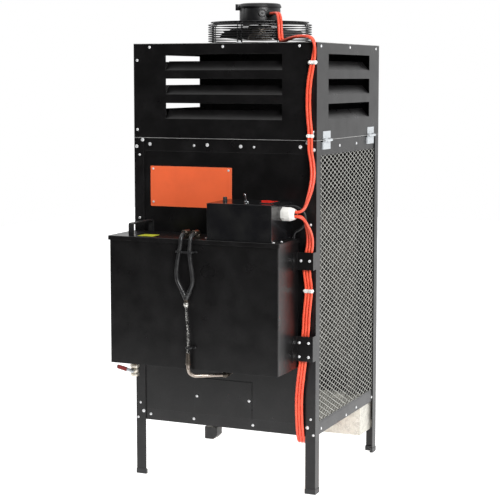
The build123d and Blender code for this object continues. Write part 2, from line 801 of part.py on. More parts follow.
def main_rocker():
    """Rocker of the main switch on its pivots, its rear end pressed down."""
    half_x = (ROCKER_X[1] - ROCKER_X[0]) / 2
    half_y = (ROCKER_Y[1] - ROCKER_Y[0]) / 2 - 0.6
    with BuildSketch(Plane.YZ) as side:
        Polygon((-half_y, -3), (half_y, -3), (half_y, 6), (0, 3), (-half_y, 6), align=None)
    rocker = extrude(side.sketch, amount=half_x, both=True)
    rocker += rod((-half_x - 0.4, 0, 0), (half_x + 0.4, 0, 0), PIVOT)
    centre_x = (ROCKER_X[0] + ROCKER_X[1]) / 2
    centre_y = (ROCKER_Y[0] + ROCKER_Y[1]) / 2
    return [Pos(centre_x, centre_y, BOX_TOP) * Rot(-ROCKER_LEAN, 0, 0) * rocker]


def cable_gland():
    """White gland on the right of the control box."""
    wall = BOX_X[1]
    nose = wall + GLAND_BARREL
    gland = rod((wall, GLAND_Y, GLAND_Z), (nose, GLAND_Y, GLAND_Z), GLAND_RADIUS)
    gland += Pos((nose + GLAND_END) / 2, GLAND_Y, GLAND_Z) * Rot(0, 90, 0) * Cone(
        GLAND_RADIUS, GLAND_NOSE, GLAND_END - nose)
    thread = rod((wall - 8, GLAND_Y, GLAND_Z), (wall, GLAND_Y, GLAND_Z), GLAND_NOSE - 4)
    return [gland + thread]


def pump_axis():
    """Height and place of the pump's shaft, which runs along X."""
    return (PUMP_Y[0] + PUMP_Y[1]) / 2, (LID_TOP + PUMP_TOP) / 2


def pump_body():
    """Oil pump block with the chamber of its rotor."""
    y, z = pump_axis()
    body = block(PUMP_X, PUMP_Y, (LID_TOP, PUMP_TOP))
    chamber = (PUMP_X[0] + PUMP_SIDE, PUMP_X[1] - PUMP_SIDE)
    body -= rod((chamber[0], y, z), (chamber[1], y, z), PUMP_ROTOR + 0.4)
    return [body - rod((chamber[1], y, z), (PUMP_X[1], y, z), PUMP_SHAFT + RUNNING_FIT)]


def pump_rotor():
    """Six-lobed rotor and its shaft."""
    y, z = pump_axis()
    faces = (PUMP_X[0] + PUMP_SIDE + 0.5, PUMP_X[1] - PUMP_SIDE - 0.5)
    rotor = rod((faces[0], y, z), (faces[1], y, z), PUMP_ROTOR)
    for index in range(6):
        angle = 2 * pi * index / 6
        notch_y = y + PUMP_ROTOR * cos(angle)
        notch_z = z + PUMP_ROTOR * sin(angle)
        rotor -= rod((faces[0], notch_y, notch_z), (faces[1], notch_y, notch_z), 5)
    return [rotor + rod((faces[1], y, z), (PUMP_X[1] + PUMP_SIDE, y, z), PUMP_SHAFT)]


def pump_motor():
    """Motor bolted to the pump block."""
    y, z = pump_axis()
    motor = rod((PUMP_X[1], y, z), (PUMP_X[1] + PUMP_MOTOR_LENGTH, y, z), PUMP_MOTOR)
    bore = rod((PUMP_X[1], y, z), (PUMP_X[1] + PUMP_SIDE + 1, y, z), PUMP_SHAFT + RUNNING_FIT)
    foot = block((PUMP_X[1] + 10, PUMP_X[1] + 70), (y - 18, y + 18), (LID_TOP, z - 15))
    return [motor + foot - bore]


def hose_fittings():
    """Two lid elbows, the Y joint, the pipe coupling and the pipe elbow."""
    fittings = []
    for x in ELBOWS_X:
        elbow = upright((x, ELBOW_Y), ELBOW_RADIUS, LID_TOP, ELBOW_Z)
        elbow += Pos(x, ELBOW_Y, LID_TOP) * extrude(RegularPolygon(11, 6), 5)
        elbow += Pos(x, ELBOW_Y, ELBOW_Z) * Sphere(ELBOW_RADIUS)
        elbow += rod((x, ELBOW_Y, ELBOW_Z), (x, HOSE_START_Y, ELBOW_Z), ELBOW_RADIUS)
        fittings.append(elbow)
    branch = HOSE / 2 + 0.6
    joint = Pos(*JOINT) * Sphere(branch)
    for hose in (LEFT_HOSE, RIGHT_HOSE):
        joint += rod(JOINT, hose[-1], branch)
    top_x, top_y, top_z = BRAIDED[0]
    joint += rod((top_x, top_y, top_z), (top_x, top_y, JOINT[2]), BRAID / 2 + 1.5)
    coupling = rod(BRAIDED[-1], FEED_FRONT[0], PIPE / 2 + 1.5)
    bend = rod(FEED_FRONT[-1], PIPE_ELBOW, PIPE / 2 + 2.5)
    bend += Pos(*PIPE_ELBOW) * Sphere(PIPE / 2 + 3)
    bend += rod(PIPE_ELBOW, FEED_BACK[0], PIPE / 2 + 2.5)
    return fittings + [joint, coupling, bend]


def black_hoses():
    """Two oil hoses down the front of the tank, and the loop of the sensor cable."""
    return [tube("left hose", LEFT_HOSE, HOSE), tube("right hose", RIGHT_HOSE, HOSE),
            tube("sensor loop", SENSOR_LOOP, SENSOR_CABLE)]


def braided_hose():
    """Braided hose below the Y joint."""
    return [tube("braided hose", BRAIDED, BRAID)]


def feed_pipe():
    """Steel pipe to the elbow under the tank, and on through the panel into the drum."""
    return [tube("feed pipe", FEED_FRONT, PIPE), tube("rear feed pipe", FEED_BACK, PIPE)]


def strap(x, z, reach):
    """A clamp strap standing on the tank front, seen from above as three sides of a box."""
    face = TANK_Y[0]
    front = block(x, (reach - CLAMP_THICK, reach), z)
    for side in ((x[0], x[0] + CLAMP_THICK), (x[1] - CLAMP_THICK, x[1])):
        front += block(side, (reach, face), z)
    return front


def hose_clamps():
    """Saddle over both hoses, and the clamp of the braided hose."""
    return [strap(*SADDLE), strap(*LOWER_CLAMP)]


def cables_down():
    """Three red cables from the gland down to the air box."""
    return bundle("cable down", CABLES_DOWN, (-1, 0, 1), RED_CABLE)


def cables_up():
    """Two red cables from the gland up to the seam."""
    return bundle("cable up", CABLES_UP, (-0.5, 0.5), RED_CABLE)


def cables_top():
    """The same two cables from the seam up to the fan motor."""
    return bundle("cable top", CABLES_TOP, (-0.5, 0.5), RED_CABLE)


def tie(x, y, z):
    """A cable tie: a flat loop round the cables, and the pad that holds it to the cabinet."""
    band = TIE_BAND
    loop = block((x[0] - band, x[1] + band), (y[0] - band, y[1] + band), (z, z + 5))
    loop -= block(x, y, (z, z + 5))
    middle = (x[0] + x[1]) / 2
    return loop + block((middle - 6, middle + 6), (y[1] + band, 0), (z - 3, z + 8))


def cable_ties():
    """Tie of the three lower cables."""
    return [tie(*TIE_DOWN)]


def upper_ties():
    """Ties of the two upper cables."""
    return [tie(*place) for place in TIES_UP]


def exchanger_drum():
    """Drum with a bottom plate that leaves room for the pot, standing on four feet."""
    centre = (0, MIDDLE_Y)
    low, high = DRUM_Z
    drum = upright(centre, DRUM, low, high)
    drum -= upright(centre, DRUM - DRUM_WALL, low + DRUM_WALL, high)
    drum -= upright(centre, POT + 2, low, low + DRUM_WALL)
    feed_x, _, feed_z = FEED_BACK[0]
    drum -= rod((feed_x, 0, feed_z), (feed_x, MIDDLE_Y - 100, feed_z), PANEL_GLAND)
    drum -= rod((0, MIDDLE_Y, FLUE_Z), (0, FLUE_END, FLUE_Z), FLUE_BORE)
    for index in range(4):
        angle = pi / 4 + pi / 2 * index
        place = (DRUM_FOOT_CIRCLE * cos(angle), MIDDLE_Y + DRUM_FOOT_CIRCLE * sin(angle))
        drum += upright(place, DRUM_FOOT, FLOOR_TOP, low)
    return [drum]


def drum_lid():
    """Lid on the drum with a lifting handle."""
    centre = (0, MIDDLE_Y)
    plate_top = DRUM_Z[1] + 4
    grip = HANDLE_THICK / 2
    plate = upright(centre, DRUM_LID, DRUM_Z[1], plate_top)
    handle_y = (MIDDLE_Y - grip, MIDDLE_Y + grip)
    handle = block((-HANDLE_HALF, HANDLE_HALF), handle_y, (plate_top, DRUM_TOP))
    inner_half = HANDLE_HALF - 7
    handle -= block((-inner_half, inner_half), handle_y, (plate_top, DRUM_TOP - 5))
    return [plate + handle]


def burner_pot():
    """Cast pot on a hollow pedestal over the floor's air hole."""
    centre = (0, MIDDLE_Y)
    pot = upright(centre, POT, *POT_Z)
    pot += upright(centre, POT_PEDESTAL, FLOOR_TOP, POT_Z[0])
    pot -= upright(centre, POT - POT_WALL, POT_Z[0] + POT_WALL, POT_Z[1])
    return [pot - upright(centre, AIR_HOLE, FLOOR_TOP, POT_Z[0] + POT_WALL)]


def burner_insert():
    """Pan in the pot, with its air tube, and the flame ring over it."""
    centre = (0, MIDDLE_Y)
    low = POT_Z[0] + POT_WALL
    pan_top = low + 30
    ring_low = low + 42
    ring_top = low + 98
    pan = upright(centre, PAN_RADIUS, low, pan_top) - upright(centre, PAN_BORE, low + 4, pan_top)
    pan += upright(centre, AIR_HOLE + 3, low, ring_low)
    pan -= upright(centre, AIR_HOLE - 3, low, ring_low)
    ring = upright(centre, FLAME_RING, ring_low, ring_top)
    ring -= upright(centre, FLAME_BORE, ring_low + SHEET, ring_top)
    ring -= upright(centre, AIR_HOLE - 3, ring_low, ring_low + SHEET)
    holes = 8
    for index in range(holes):
        angle = pi * index / holes
        reach = (60 * cos(angle), 60 * sin(angle))
        for height in (60, 78):
            ring -= rod((-reach[0], MIDDLE_Y - reach[1], low + height),
                        (reach[0], MIDDLE_Y + reach[1], low + height), 3)
    return [pan, ring]


def flue_stub():
    """Round flue outlet through the rear panel: inner tube, collar, and the spigot for the pipe."""
    stub = rod((0, DRUM + MIDDLE_Y - 60, FLUE_Z), (0, FLUE_END, FLUE_Z), FLUE_INNER)
    stub -= upright((0, MIDDLE_Y), DRUM, *DRUM_Z)
    collar_y = DEPTH - LEG_THICK
    stub += rod((0, collar_y, FLUE_Z), (0, collar_y + SHEET, FLUE_Z), FLUE_COLLAR)
    stub += rod((0, SPIGOT_START, FLUE_Z), (0, FLUE_END, FLUE_Z), FLUE)
    return [stub - rod((0, MIDDLE_Y, FLUE_Z), (0, FLUE_END, FLUE_Z), FLUE_BORE)]


def air_box():
    """Sheet box of the blower under the floor, with its neck and its bracket."""
    wall = 1.5
    box = block(AIR_BOX_X, AIR_BOX_Y, AIR_BOX_Z)
    box += upright(BLOWER, AIR_HOLE + 10, AIR_BOX_Z[1], FLOOR_LOW)
    box -= block(
        (AIR_BOX_X[0] + wall, AIR_BOX_X[1] - wall),
        (AIR_BOX_Y[0] + wall, AIR_BOX_Y[1] - wall),
        (AIR_BOX_Z[0] + wall, AIR_BOX_Z[1] - wall),
    )
    box -= upright(BLOWER, AIR_HOLE, AIR_BOX_Z[1] - wall, FLOOR_LOW)
    for row in range(3):
        slot_z = AIR_BOX_Z[0] + 22 + 14 * row
        box -= block((AIR_BOX_X[0], AIR_BOX_X[0] + wall), (430, 480), (slot_z, slot_z + 5))
    strip = block((200, HALF - LEG_THICK), (AIR_BOX_Y[1], AIR_BOX_Y[1] + SHEET), (78, 100))
    bolt = rod((262, AIR_BOX_Y[1] + SHEET, 89), (262, AIR_BOX_Y[1] + SHEET + 5, 89), 6)
    return [box + strip + bolt]


def blower_housing():
    """Round housing of the blower wheel, open below, with its top plate."""
    low = AIR_BOX_Z[0] + 9
    high = BLOWER_TOP
    outlet_x = (BLOWER[0] - BLOWER_OUTLET, BLOWER[0])
    outlet_y = (BLOWER[1] + 15, BLOWER[1] + BLOWER_HOUSING)
    housing = upright(BLOWER, BLOWER_HOUSING, low, high)
    housing += block(outlet_x, outlet_y, (low, high))
    housing -= upright(BLOWER, BLOWER_HOUSING - SHEET, low + SHEET, high - SHEET)
    housing -= block(outlet_x, (outlet_y[0] + SHEET, outlet_y[1] - SHEET), (low + SHEET, high - SHEET))
    housing -= upright(BLOWER, BLOWER_INLET, low, low + SHEET)
    housing -= upright(BLOWER, BLOWER_SHAFT + 1, high - SHEET, high)
    feet = [upright((BLOWER[0] + dx, BLOWER[1]), 4, AIR_BOX_Z[0] + 1.5, low) for dx in (-38, 38)]
    return [housing + feet]


def blower_motor():
    """Motor standing on the blower housing."""
    motor = upright(BLOWER, BLOWER_MOTOR, BLOWER_TOP, BLOWER_TOP + 31)
    return [motor - upright(BLOWER, BLOWER_SHAFT + RUNNING_FIT, BLOWER_TOP, BLOWER_TOP + 18)]


def blower_wheel():
    """Wheel of upright blades between two rings, with its hub and shaft."""
    low = AIR_BOX_Z[0] + 14
    high = BLOWER_TOP - 5
    wheel = upright(BLOWER, BLOWER_WHEEL, high - 2, high)
    lower_ring = upright(BLOWER, BLOWER_WHEEL, low, low + 2) - upright(BLOWER, 28, low, low + 2)
    wheel += lower_ring
    for index in range(BLOWER_BLADES):
        blade = block((28, 37), (-1, 1), (low, high))
        wheel += Pos(BLOWER[0], BLOWER[1], 0) * Rot(0, 0, 360 / BLOWER_BLADES * index) * blade
    return [wheel + upright(BLOWER, 9, low + 12, high) + upright(BLOWER, BLOWER_SHAFT, high, BLOWER_TOP + 17)]


def overflow_switch():
    """Float switch hung under the floor on a bent bracket."""
    top = FLOAT_Z[1]
    back = FLOAT_Y[1]
    housing = block(FLOAT_X, FLOAT_Y, FLOAT_Z)
    housing = chamfer(housing.edges().filter_by(Axis.Y).group_by(Axis.Z)[0].sort_by(Axis.X)[-1], 12)
    bracket = block(FLOAT_X, FLOAT_Y, (top, top + SHEET))
    bracket += block(FLOAT_STRIP, (back - SHEET, back), (top + SHEET, FLOOR_LOW))
    bracket += block(FLOAT_STRIP, (back - 20, back), (FLOOR_LOW - SHEET, FLOOR_LOW))
    return [housing, bracket]


def louvre_sheet(half_slot, width, thickness_y):
    """A sheet centred on x, with three slots and a flap folded in from each slot's lower edge."""
    sheet = block((-width / 2, width / 2), thickness_y, (SEAM, HEIGHT))
    front = thickness_y[0]
    for low, high in SLOT_ROWS:
        sheet -= block((-half_slot, half_slot), thickness_y, (low, high))
    for low, _ in SLOT_ROWS:
        with BuildSketch(Plane.YZ) as side:
            Polygon(
                (front, low - 1),
                (front + SHEET, low - 1),
                (front + FLAP_REACH, low + FLAP_RISE - FLAP_THICK),
                (front + FLAP_REACH - FLAP_THICK, low + FLAP_RISE),
                (front, low + 0.6),
                align=None,
            )
        sheet += extrude(side.sketch, amount=half_slot, both=True)
    return sheet


def louvre_front():
    """Front of the upper cabinet."""
    return [louvre_sheet(FRONT_SLOT, WIDTH, (0, SHEET))]


def side_louvre(turn):
    """A side of the upper cabinet: the louvred sheet turned about the cabinet's middle."""
    sheet = louvre_sheet(SIDE_SLOT, DEPTH - 2 * SHEET, (-HALF, -HALF + SHEET))
    return Pos(0, MIDDLE_Y, 0) * Rot(0, 0, turn) * sheet


def left_louvre():
    """Left side of the upper cabinet."""
    return [side_louvre(-90)]


def right_louvre():
    """Right side of the upper cabinet."""
    return [side_louvre(90)]


def upper_rear_panel():
    """Plain rear of the upper cabinet."""
    return [block((-HALF, HALF), (DEPTH - SHEET, DEPTH), (SEAM, HEIGHT))]


def top_panel():
    """Top of the upper cabinet with turned-down edges and the fan hole."""
    x = (-HALF + SHEET, HALF - SHEET)
    y = (SHEET, DEPTH - SHEET)
    panel = block(x, y, (HEIGHT - 22, HEIGHT))
    panel -= block(
        (x[0] + LEAF_THICK, x[1] - LEAF_THICK),
        (y[0] + LEAF_THICK, y[1] - LEAF_THICK),
        (HEIGHT - 22, HEIGHT - SHEET),
    )
    return [panel - upright((0, MIDDLE_Y), FAN_HOLE, HEIGHT - SHEET, HEIGHT)]


def fan_ring():
    """Inlet ring in the fan hole: a flange on the panel and a collar through it."""
    centre = (0, MIDDLE_Y)
    ring = upright(centre, FAN_FLANGE, HEIGHT, FAN_FLANGE_TOP)
    ring += upright(centre, FAN_COLLAR, FAN_COLLAR_LOW, HEIGHT)
    return [ring - upright(centre, FAN_COLLAR_IN, FAN_COLLAR_LOW, FAN_FLANGE_TOP)]


def fan_guard():
    """Basket guard over the rotor: rings and spokes above, upright bars around."""
    centre = (0, MIDDLE_Y)
    low = FAN_FLANGE_TOP
    top = GUARD_TOP
    shell = upright(centre, GUARD_RADIUS, low, top)
    shell = fillet(shell.faces().sort_by(Axis.Z)[-1].edges(), 12)
    core = upright(centre, GUARD_RADIUS - GUARD_WIRE, low, top - GUARD_WIRE)
    shell -= fillet(core.faces().sort_by(Axis.Z)[-1].edges(), 12 - GUARD_WIRE)
    cuts = []
    step = (GUARD_RADIUS - 14 - GUARD_CENTRE) / GUARD_RINGS
    for index in range(GUARD_RINGS):
        inner = GUARD_CENTRE + step * index
        outer = inner + step - GUARD_WIRE
        cuts.append(upright(centre, outer, top - 5, top) - upright(centre, inner, top - 5, top))
    cuts.append(upright(centre, GUARD_RADIUS + 1, low + 8, top - 14)
                - upright(centre, GUARD_RADIUS - GUARD_WIRE - 1, low + 8, top - 14))
    slots = cuts[0].fuse(*cuts[1:])
    half_bar = GUARD_WIRE / 2
    bars = [Pos(*centre, 0) * Rot(0, 0, 180 / GUARD_SPOKES * index)
            * block((-GUARD_RADIUS - 5, GUARD_RADIUS + 5), (-half_bar, half_bar), (low, top))
            for index in range(GUARD_SPOKES)]
    guard = shell - (slots - bars)
    return [guard - upright(centre, FAN_SHAFT + 3, top - GUARD_WIRE, top)]


def fan_motor():
    """Motor on the middle of the guard, with a lip, a domed cap and a cable gland."""
    centre = (0, MIDDLE_Y)
    motor = upright(centre, MOTOR_RADIUS, GUARD_TOP, MOTOR_LIP_LOW)
    cap = upright(centre, MOTOR_LIP, MOTOR_LIP_LOW, MOTOR_TOP)
    motor += fillet(cap.faces().sort_by(Axis.Z)[-1].edges(), 6)
    reach_x, reach_y = MOTOR_GLAND
    inner = MOTOR_RADIUS - 4
    motor += rod(
        (reach_x * inner, MIDDLE_Y + reach_y * inner, MOTOR_GLAND_Z),
        (reach_x * MOTOR_GLAND_REACH, MIDDLE_Y + reach_y * MOTOR_GLAND_REACH, MOTOR_GLAND_Z),
        MOTOR_GLAND_RADIUS,
    )
    return [motor - upright(centre, FAN_SHAFT + RUNNING_FIT, GUARD_TOP, GUARD_TOP + 22)]


def fan_rotor():
    """Hub, shaft and pitched blades."""
    centre = (0, MIDDLE_Y)
    rotor = upright(centre, ROTOR_HUB, ROTOR_LOW, ROTOR_HIGH + 6)
    height = ROTOR_HIGH - ROTOR_LOW - 4
    middle = (ROTOR_LOW + ROTOR_HIGH) / 2
    chord = height / sin(radians(BLADE_PITCH)) * 0.8
    envelope = upright(centre, ROTOR_RADIUS, ROTOR_LOW, ROTOR_HIGH)
    for index in range(BLADES):
        blade = Pos(80, 0, middle) * Rot(BLADE_PITCH, 0, 0) * Box(110, chord, 2)
        turned = Pos(0, MIDDLE_Y, 0) * Rot(0, 0, 360 / BLADES * index) * blade
        rotor += turned & envelope
    return [rotor + upright(centre, FAN_SHAFT, ROTOR_HIGH, GUARD_TOP + 20)]


def lower_screws():
    """Screw heads of the lower cabinet."""
    front = (0, -1, 0)
    heads = []
    for x, z, radius in LEG_SCREWS:
        heads += [pan_head((side * x, 0, z), front, radius) for side in (-1, 1)]
    for x, z, radius in RAIL_SCREWS:
        heads.append(pan_head((x, LEG_THICK, z), front, radius))
    for x, z, radius in COVER_SCREWS:
        heads.append(pan_head((x, LEG_THICK - SHEET, z), front, radius))
    for x in (PLATE_X[0] + 9, PLATE_X[1] - 10):
        for z in (PLATE_Z[0] + 12, PLATE_Z[1] - 8):
            heads.append(pan_head((x, LEG_THICK - PLATE_THICK, z), front, 3.2))
    for y, z, radius in SIDE_RAIL_SCREWS:
        for side in (-1, 1):
            heads.append(pan_head((side * (HALF - LEG_THICK), y, z), (side, 0, 0), radius))
    for x, z in BRACKET_SCREWS:
        heads.append(pan_head((x, BRACKET_FRONT, z), front, 4))
    for x in (-240, -120, 120, 240):
        for z in (180, 964):
            heads.append(pan_head((x, DEPTH - LEG_THICK, z), (0, 1, 0), 4))
    return heads


def upper_screws():
    """Screw heads of the upper cabinet."""
    heads = [pan_head((x, 0, z), (0, -1, 0), radius) for x, z, radius in UPPER_FRONT_SCREWS]
    for x in (-229, 0, 229):
        heads.append(pan_head((x, DEPTH, 1240), (0, 1, 0), 4))
    for y, z, radius in UPPER_SIDE_SCREWS:
        heads += [pan_head((side * HALF, y, z), (side, 0, 0), radius) for side in (-1, 1)]
    for index in range(4):
        angle = pi / 4 + pi / 2 * index
        place = (155.2 * cos(angle), MIDDLE_Y + 155.2 * sin(angle), FAN_FLANGE_TOP)
        heads.append(pan_head(place, (0, 0, 1), 2.4))
    return heads


SUB_PARTS = [
    corner_legs, foot_caps, frame_rails, front_panel, access_cover, front_plate, rear_panel,
    rear_heat_shield, side_meshes, cabinet_floor, hinge_lower_leaves, hinge_upper_leaves,
    tank_body, tank_gasket, tank_lid, lid_cover, cover_grip, tank_brackets, drain_valve,
    drain_lever, control_box, switch_bodies, selector_knob, toggle_lever, main_rocker,
    cable_gland, pump_body, pump_rotor, pump_motor, hose_fittings, black_hoses, braided_hose,
    feed_pipe, hose_clamps, cables_down, cables_up, cables_top, cable_ties, upper_ties,
    exchanger_drum, drum_lid, burner_pot, burner_insert, flue_stub, air_box, blower_housing,
    blower_motor, blower_wheel, overflow_switch, louvre_front, left_louvre, right_louvre,
    upper_rear_panel, top_panel, fan_ring, fan_guard, fan_motor, fan_rotor, lower_screws,
    upper_screws,
]


def main():
    """Write each sub-part, moved so that the origin lies under the middle of the outline."""
    os.makedirs("parts", exist_ok=True)
    for sub_part in SUB_PARTS:
        solids = [solid for piece in sub_part() for solid in piece.solids()]
        placed = Pos(SHIFT_X, SHIFT_Y, 0) * Compound(solids)
        export_step(placed, f"parts/{sub_part.__name__}.step")


if __name__ == "__main__":
    main()
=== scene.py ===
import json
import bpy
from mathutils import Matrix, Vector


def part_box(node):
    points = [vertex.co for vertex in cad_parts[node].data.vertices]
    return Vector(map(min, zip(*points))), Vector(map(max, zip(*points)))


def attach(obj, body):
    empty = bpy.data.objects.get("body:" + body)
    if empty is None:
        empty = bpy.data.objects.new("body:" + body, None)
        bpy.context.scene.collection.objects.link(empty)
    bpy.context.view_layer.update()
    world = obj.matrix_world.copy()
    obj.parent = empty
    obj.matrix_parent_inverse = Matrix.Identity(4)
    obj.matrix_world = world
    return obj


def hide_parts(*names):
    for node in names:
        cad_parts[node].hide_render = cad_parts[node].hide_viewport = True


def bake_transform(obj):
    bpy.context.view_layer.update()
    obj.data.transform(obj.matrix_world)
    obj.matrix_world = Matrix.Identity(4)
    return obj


bl_info = {
    "name": "Waste Oil Heater",
    "version": (1, 0, 0),
    "blender": (4, 5, 0),
    "location": "View3D > Sidebar > Heater",
    "description": "Fine pieces, finishes and studio for a waste oil heater",
    "category": "Object",
}

from math import atan2, cos, pi, radians, sin, tau

import bmesh
import bpy
from bpy.props import FloatProperty, FloatVectorProperty, PointerProperty
from bpy.types import Operator, Panel, PropertyGroup
from mathutils import Matrix, Vector

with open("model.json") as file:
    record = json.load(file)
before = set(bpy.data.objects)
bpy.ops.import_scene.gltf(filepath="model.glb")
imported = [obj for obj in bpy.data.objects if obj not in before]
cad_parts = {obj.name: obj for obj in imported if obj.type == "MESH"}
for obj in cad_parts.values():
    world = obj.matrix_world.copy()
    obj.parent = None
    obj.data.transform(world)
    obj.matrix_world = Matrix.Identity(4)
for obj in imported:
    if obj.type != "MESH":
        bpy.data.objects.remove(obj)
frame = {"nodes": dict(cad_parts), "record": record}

# Places are given in millimetres from the cabinet: x right of its middle, y behind its front face,
# z above the floor
MM = 0.001
PANEL_LOW, PANEL_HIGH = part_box("front_panel")
MIDDLE_X = (PANEL_LOW.x + PANEL_HIGH.x) / 2
FRONT_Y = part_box("corner_legs")[0].y
HALF_WIDTH = 280
DEPTH = 520
MIDDLE_Y = DEPTH / 2
SEAM = 983
CABINET_TOP = 1250

# Fan on the top panel: the flange of its ring, the guard, the blades and the motor
FLANGE_TOP = 1252
GUARD_TOP = 1316
GUARD_LOW, GUARD_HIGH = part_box("fan_guard")
GUARD_RADIUS = (GUARD_HIGH.x - GUARD_LOW.x) / 2 / MM
BLADES = 5
BLADE_HEIGHT = 1281
MOTOR_RADIUS = 60
MOTOR_GLAND_WAY = Vector((0.75, -0.66, 0))
MOTOR_GLAND_Z = 1338

# Tank and control box
TANK_FRONT = -152
LID_TOP = 717
ELBOW_Y = -120
VALVE = (-247, -70, 323)
LEVER_SLOPE = 11.7
BOX_TOP = 818
KNOB = (43, -80)
TOGGLE = (107, -80)
BEZEL = ((157.8, 192.2), (-109.2, -45.8))
GLAND = (211, -75, 789)

# Side nets: their plane on the left, the space inside their frame, and their border
NET_X = -275.4
NET_Y = (5.5, 514.5)
NET_Z = (195.5, 946.5)

# Camera of the photo: its place, how far it looks down, its turn, lens and shift
CAMERA_PLACE = (1673, -3615, 1156)
CAMERA_DOWN = 5.92
CAMERA_TURN = 23.75
CAMERA_LENS = 102.73
CAMERA_SHIFT = -0.05

# Routes of the red cables, each point with the step from one cable to the next beside it
CABLES_DOWN = [
    ((250, -75, 784), (0, 8, 0)), ((258, -75, 784), (-1.2, 7.8, 0)),
    ((266, -72, 781), (-3.5, 7, 1)), ((271, -67, 775), (-4.8, 5.7, 2.6)),
    ((273, -59, 765), (-5.3, 5, 3.5)), ((273.5, -46, 751), (-6.7, 3.6, 3.3)),
    ((272.5, -31, 732), (-7.6, 2.6, 1.6)), ((270, -19, 707), (-8.1, 1.2, 0.6)),
    ((263, -13.5, 677), (-8.2, 0, 0)), ((257.5, -12, 645), (-8.2, 0, 0)),
    ((258, -12, 615), (-8.2, 0, 0)), ((263, -12, 588), (-8.2, 0, 0)),
    ((263, -12, 560), (-8.2, 0, 0)), ((257, -12, 510), (-8.2, 0, 0)),
    ((255, -12, 460), (-8.2, 0, 0)), ((250, -12, 415), (-8.2, 0, 0)),
    ((246.5, -12, 372), (-8.2, 0, 0)), ((240.5, -12, 328), (-8.2, 0, 0)),
    ((235, -12, 272), (-8.2, 0, 0)), ((236, -11, 212), (-8.2, 0, 0)),
    ((237.5, -7, 168), (-8.2, 0, 0)), ((236, 6, 146), (-8.2, 0, 0)),
    ((232, 32, 139), (-8.2, 0, 0)), ((225, 76, 141), (-8.2, 0, 0)),
    ((214, 134, 144), (-8.2, 0, 0)), ((203, 198, 143), (-8.2, 0, 0)),
    ((194, 264, 141), (-8.2, 0, 0)), ((190, 330, 140), (-8.2, 0, 0)),
    ((190, 400, 140), (-8.2, 0, 0)),
]
CABLES_UP = [
    ((250, -75, 795.3), (0, 8.4, 0)), ((258, -75, 795.3), (-1.3, 8.3, 0)),
    ((266, -72, 798.5), (-3.8, 7.4, -1.1)), ((271, -66.5, 805), (-5.2, 6, -2.7)),
    ((273, -58, 815), (-5.6, 5.2, -3.6)), ((274, -45, 831), (-7, 3.7, -2.8)),
    ((275.5, -29, 855), (-8.2, 1.5, -0.9)), ((276.5, -17, 888), (-8.4, 0, 0)),
    ((272, -11.5, 924), (-8.4, 0, 0)), ((265, -11, 955), (-8.4, 0, 0)),
    ((265, -11, SEAM), (-8.4, 0, 0)), ((265, -11, 1012), (-8.4, 0, 0)),
    ((260, -9.5, 1048), (-8.4, 0, 0)), ((258, -8.5, 1092), (-8.4, 0, 0)),
    ((260, -8.5, 1138), (-8.4, 0, 0)), ((268, -9, 1182), (-8.4, 0, 0)),
    ((275, -9.5, 1216), (-7, 4.5, 0)), ((277, -10, 1240), (-3, 7.8, 0)),
    ((272, -9, 1256), (0, 8.4, 0)), ((259, -4, 1265), (1, 8.3, 0)), ((238, 5, 1267), (3, 7.8, 0)),
    ((214, 17, 1266), (3.6, 7.6, 0)), ((189, 33, 1262), (4.6, 7, 0)),
    ((164, 60, 1257), (6.2, 5.7, 0)), ((142, 94, 1256), (7.1, 4.5, 0)),
    ((126, 124, 1257), (7.4, 4, 0)), ((116, 139, 1266), (6.6, 5.2, 0)),
    ((113, 143, 1286), (6.1, 5.8, 0)), ((111, 146, 1308), (6.1, 5.8, 0)),
    ((105, 155, 1327), (5.8, 6.1, 0)), ((93, 173, 1338), (5.6, 6.2, 0)),
    ((75, 194, 1338), (5.5, 6.25, 0)), ((60, 207.2, 1338), (5.5, 6.25, 0)),
]

# Routes of the oil hoses, the sensor cable and the braided hose
LEFT_HOSE = [
    (-50, -135, 733), (-50, -151, 733), (-50.5, -164, 720), (-52, -165, 702), (-56, -165, 683),
    (-62, -165, 654), (-65, -165, 626), (-62, -165, 602), (-52, -165, 586), (-44, -165, 570),
]
RIGHT_HOSE = [
    (-21, -135, 733), (-21, -151, 733), (-22, -164, 720), (-24, -165, 702), (-25, -165, 683),
    (-22, -165, 655), (-17, -165, 627), (-15, -165, 604), (-20, -165, 586), (-28, -165, 570),
]
SENSOR_LOOP = [
    (211, -20, 806), (222, -20, 806), (238, -20, 802), (252, -20, 791), (258, -20, 772),
    (253, -20, 753), (240, -20, 742), (228, -20, 737), (222, -20, 728), (222, -20, 717),
]
BRAIDED = [
    (-35, -165, 540), (-35, -165, 524), (-33, -165, 500), (-30, -165, 470), (-28, -165, 440),
    (-30, -165, 412), (-30, -165, 391),
]

# Middle of the Y joint, and the bands of the clamps: ends along x, middle height and reach
JOINT = (-36, -165, 554)
BANDS = [((-66, -14), 683, -171), ((-38, -18), 419.5, -169.5)]

# Cable ties: body, the space inside along each axis, and the head's place along x
TIES = {
    "lower_tie": ("frame", (250.8, 275.2), (-16.1, -7.9), (568.5, 578.5), 271),
    "middle_tie": ("upper_cabinet", (256.9, 273.1), (-15.1, -6.9), (992.5, 1002), 260),
    "upper_tie": ("upper_cabinet", (261.6, 280.7), (-15.5, -4.4), (1190.5, 1200.5), 266),
}

# CAD parts that look darker than their slot
LOOKS = {"hose_fittings": "dark_fitting"}

# Screws of the tank lid, in plan
LID_SCREWS = [(-1, -107), (213, -142), (223, -110), (216, -9)]


def colour(name, description, default):
    """A colour that the panel shows."""
    return FloatVectorProperty(name=name, description=description, subtype="COLOR", min=0, max=1,
                               default=default)


def length(name, description, low, high, default):
    """A length in metres that the panel shows."""
    return FloatProperty(name=name, description=description, subtype="DISTANCE", unit="LENGTH",
                         min=low, max=high, default=default)


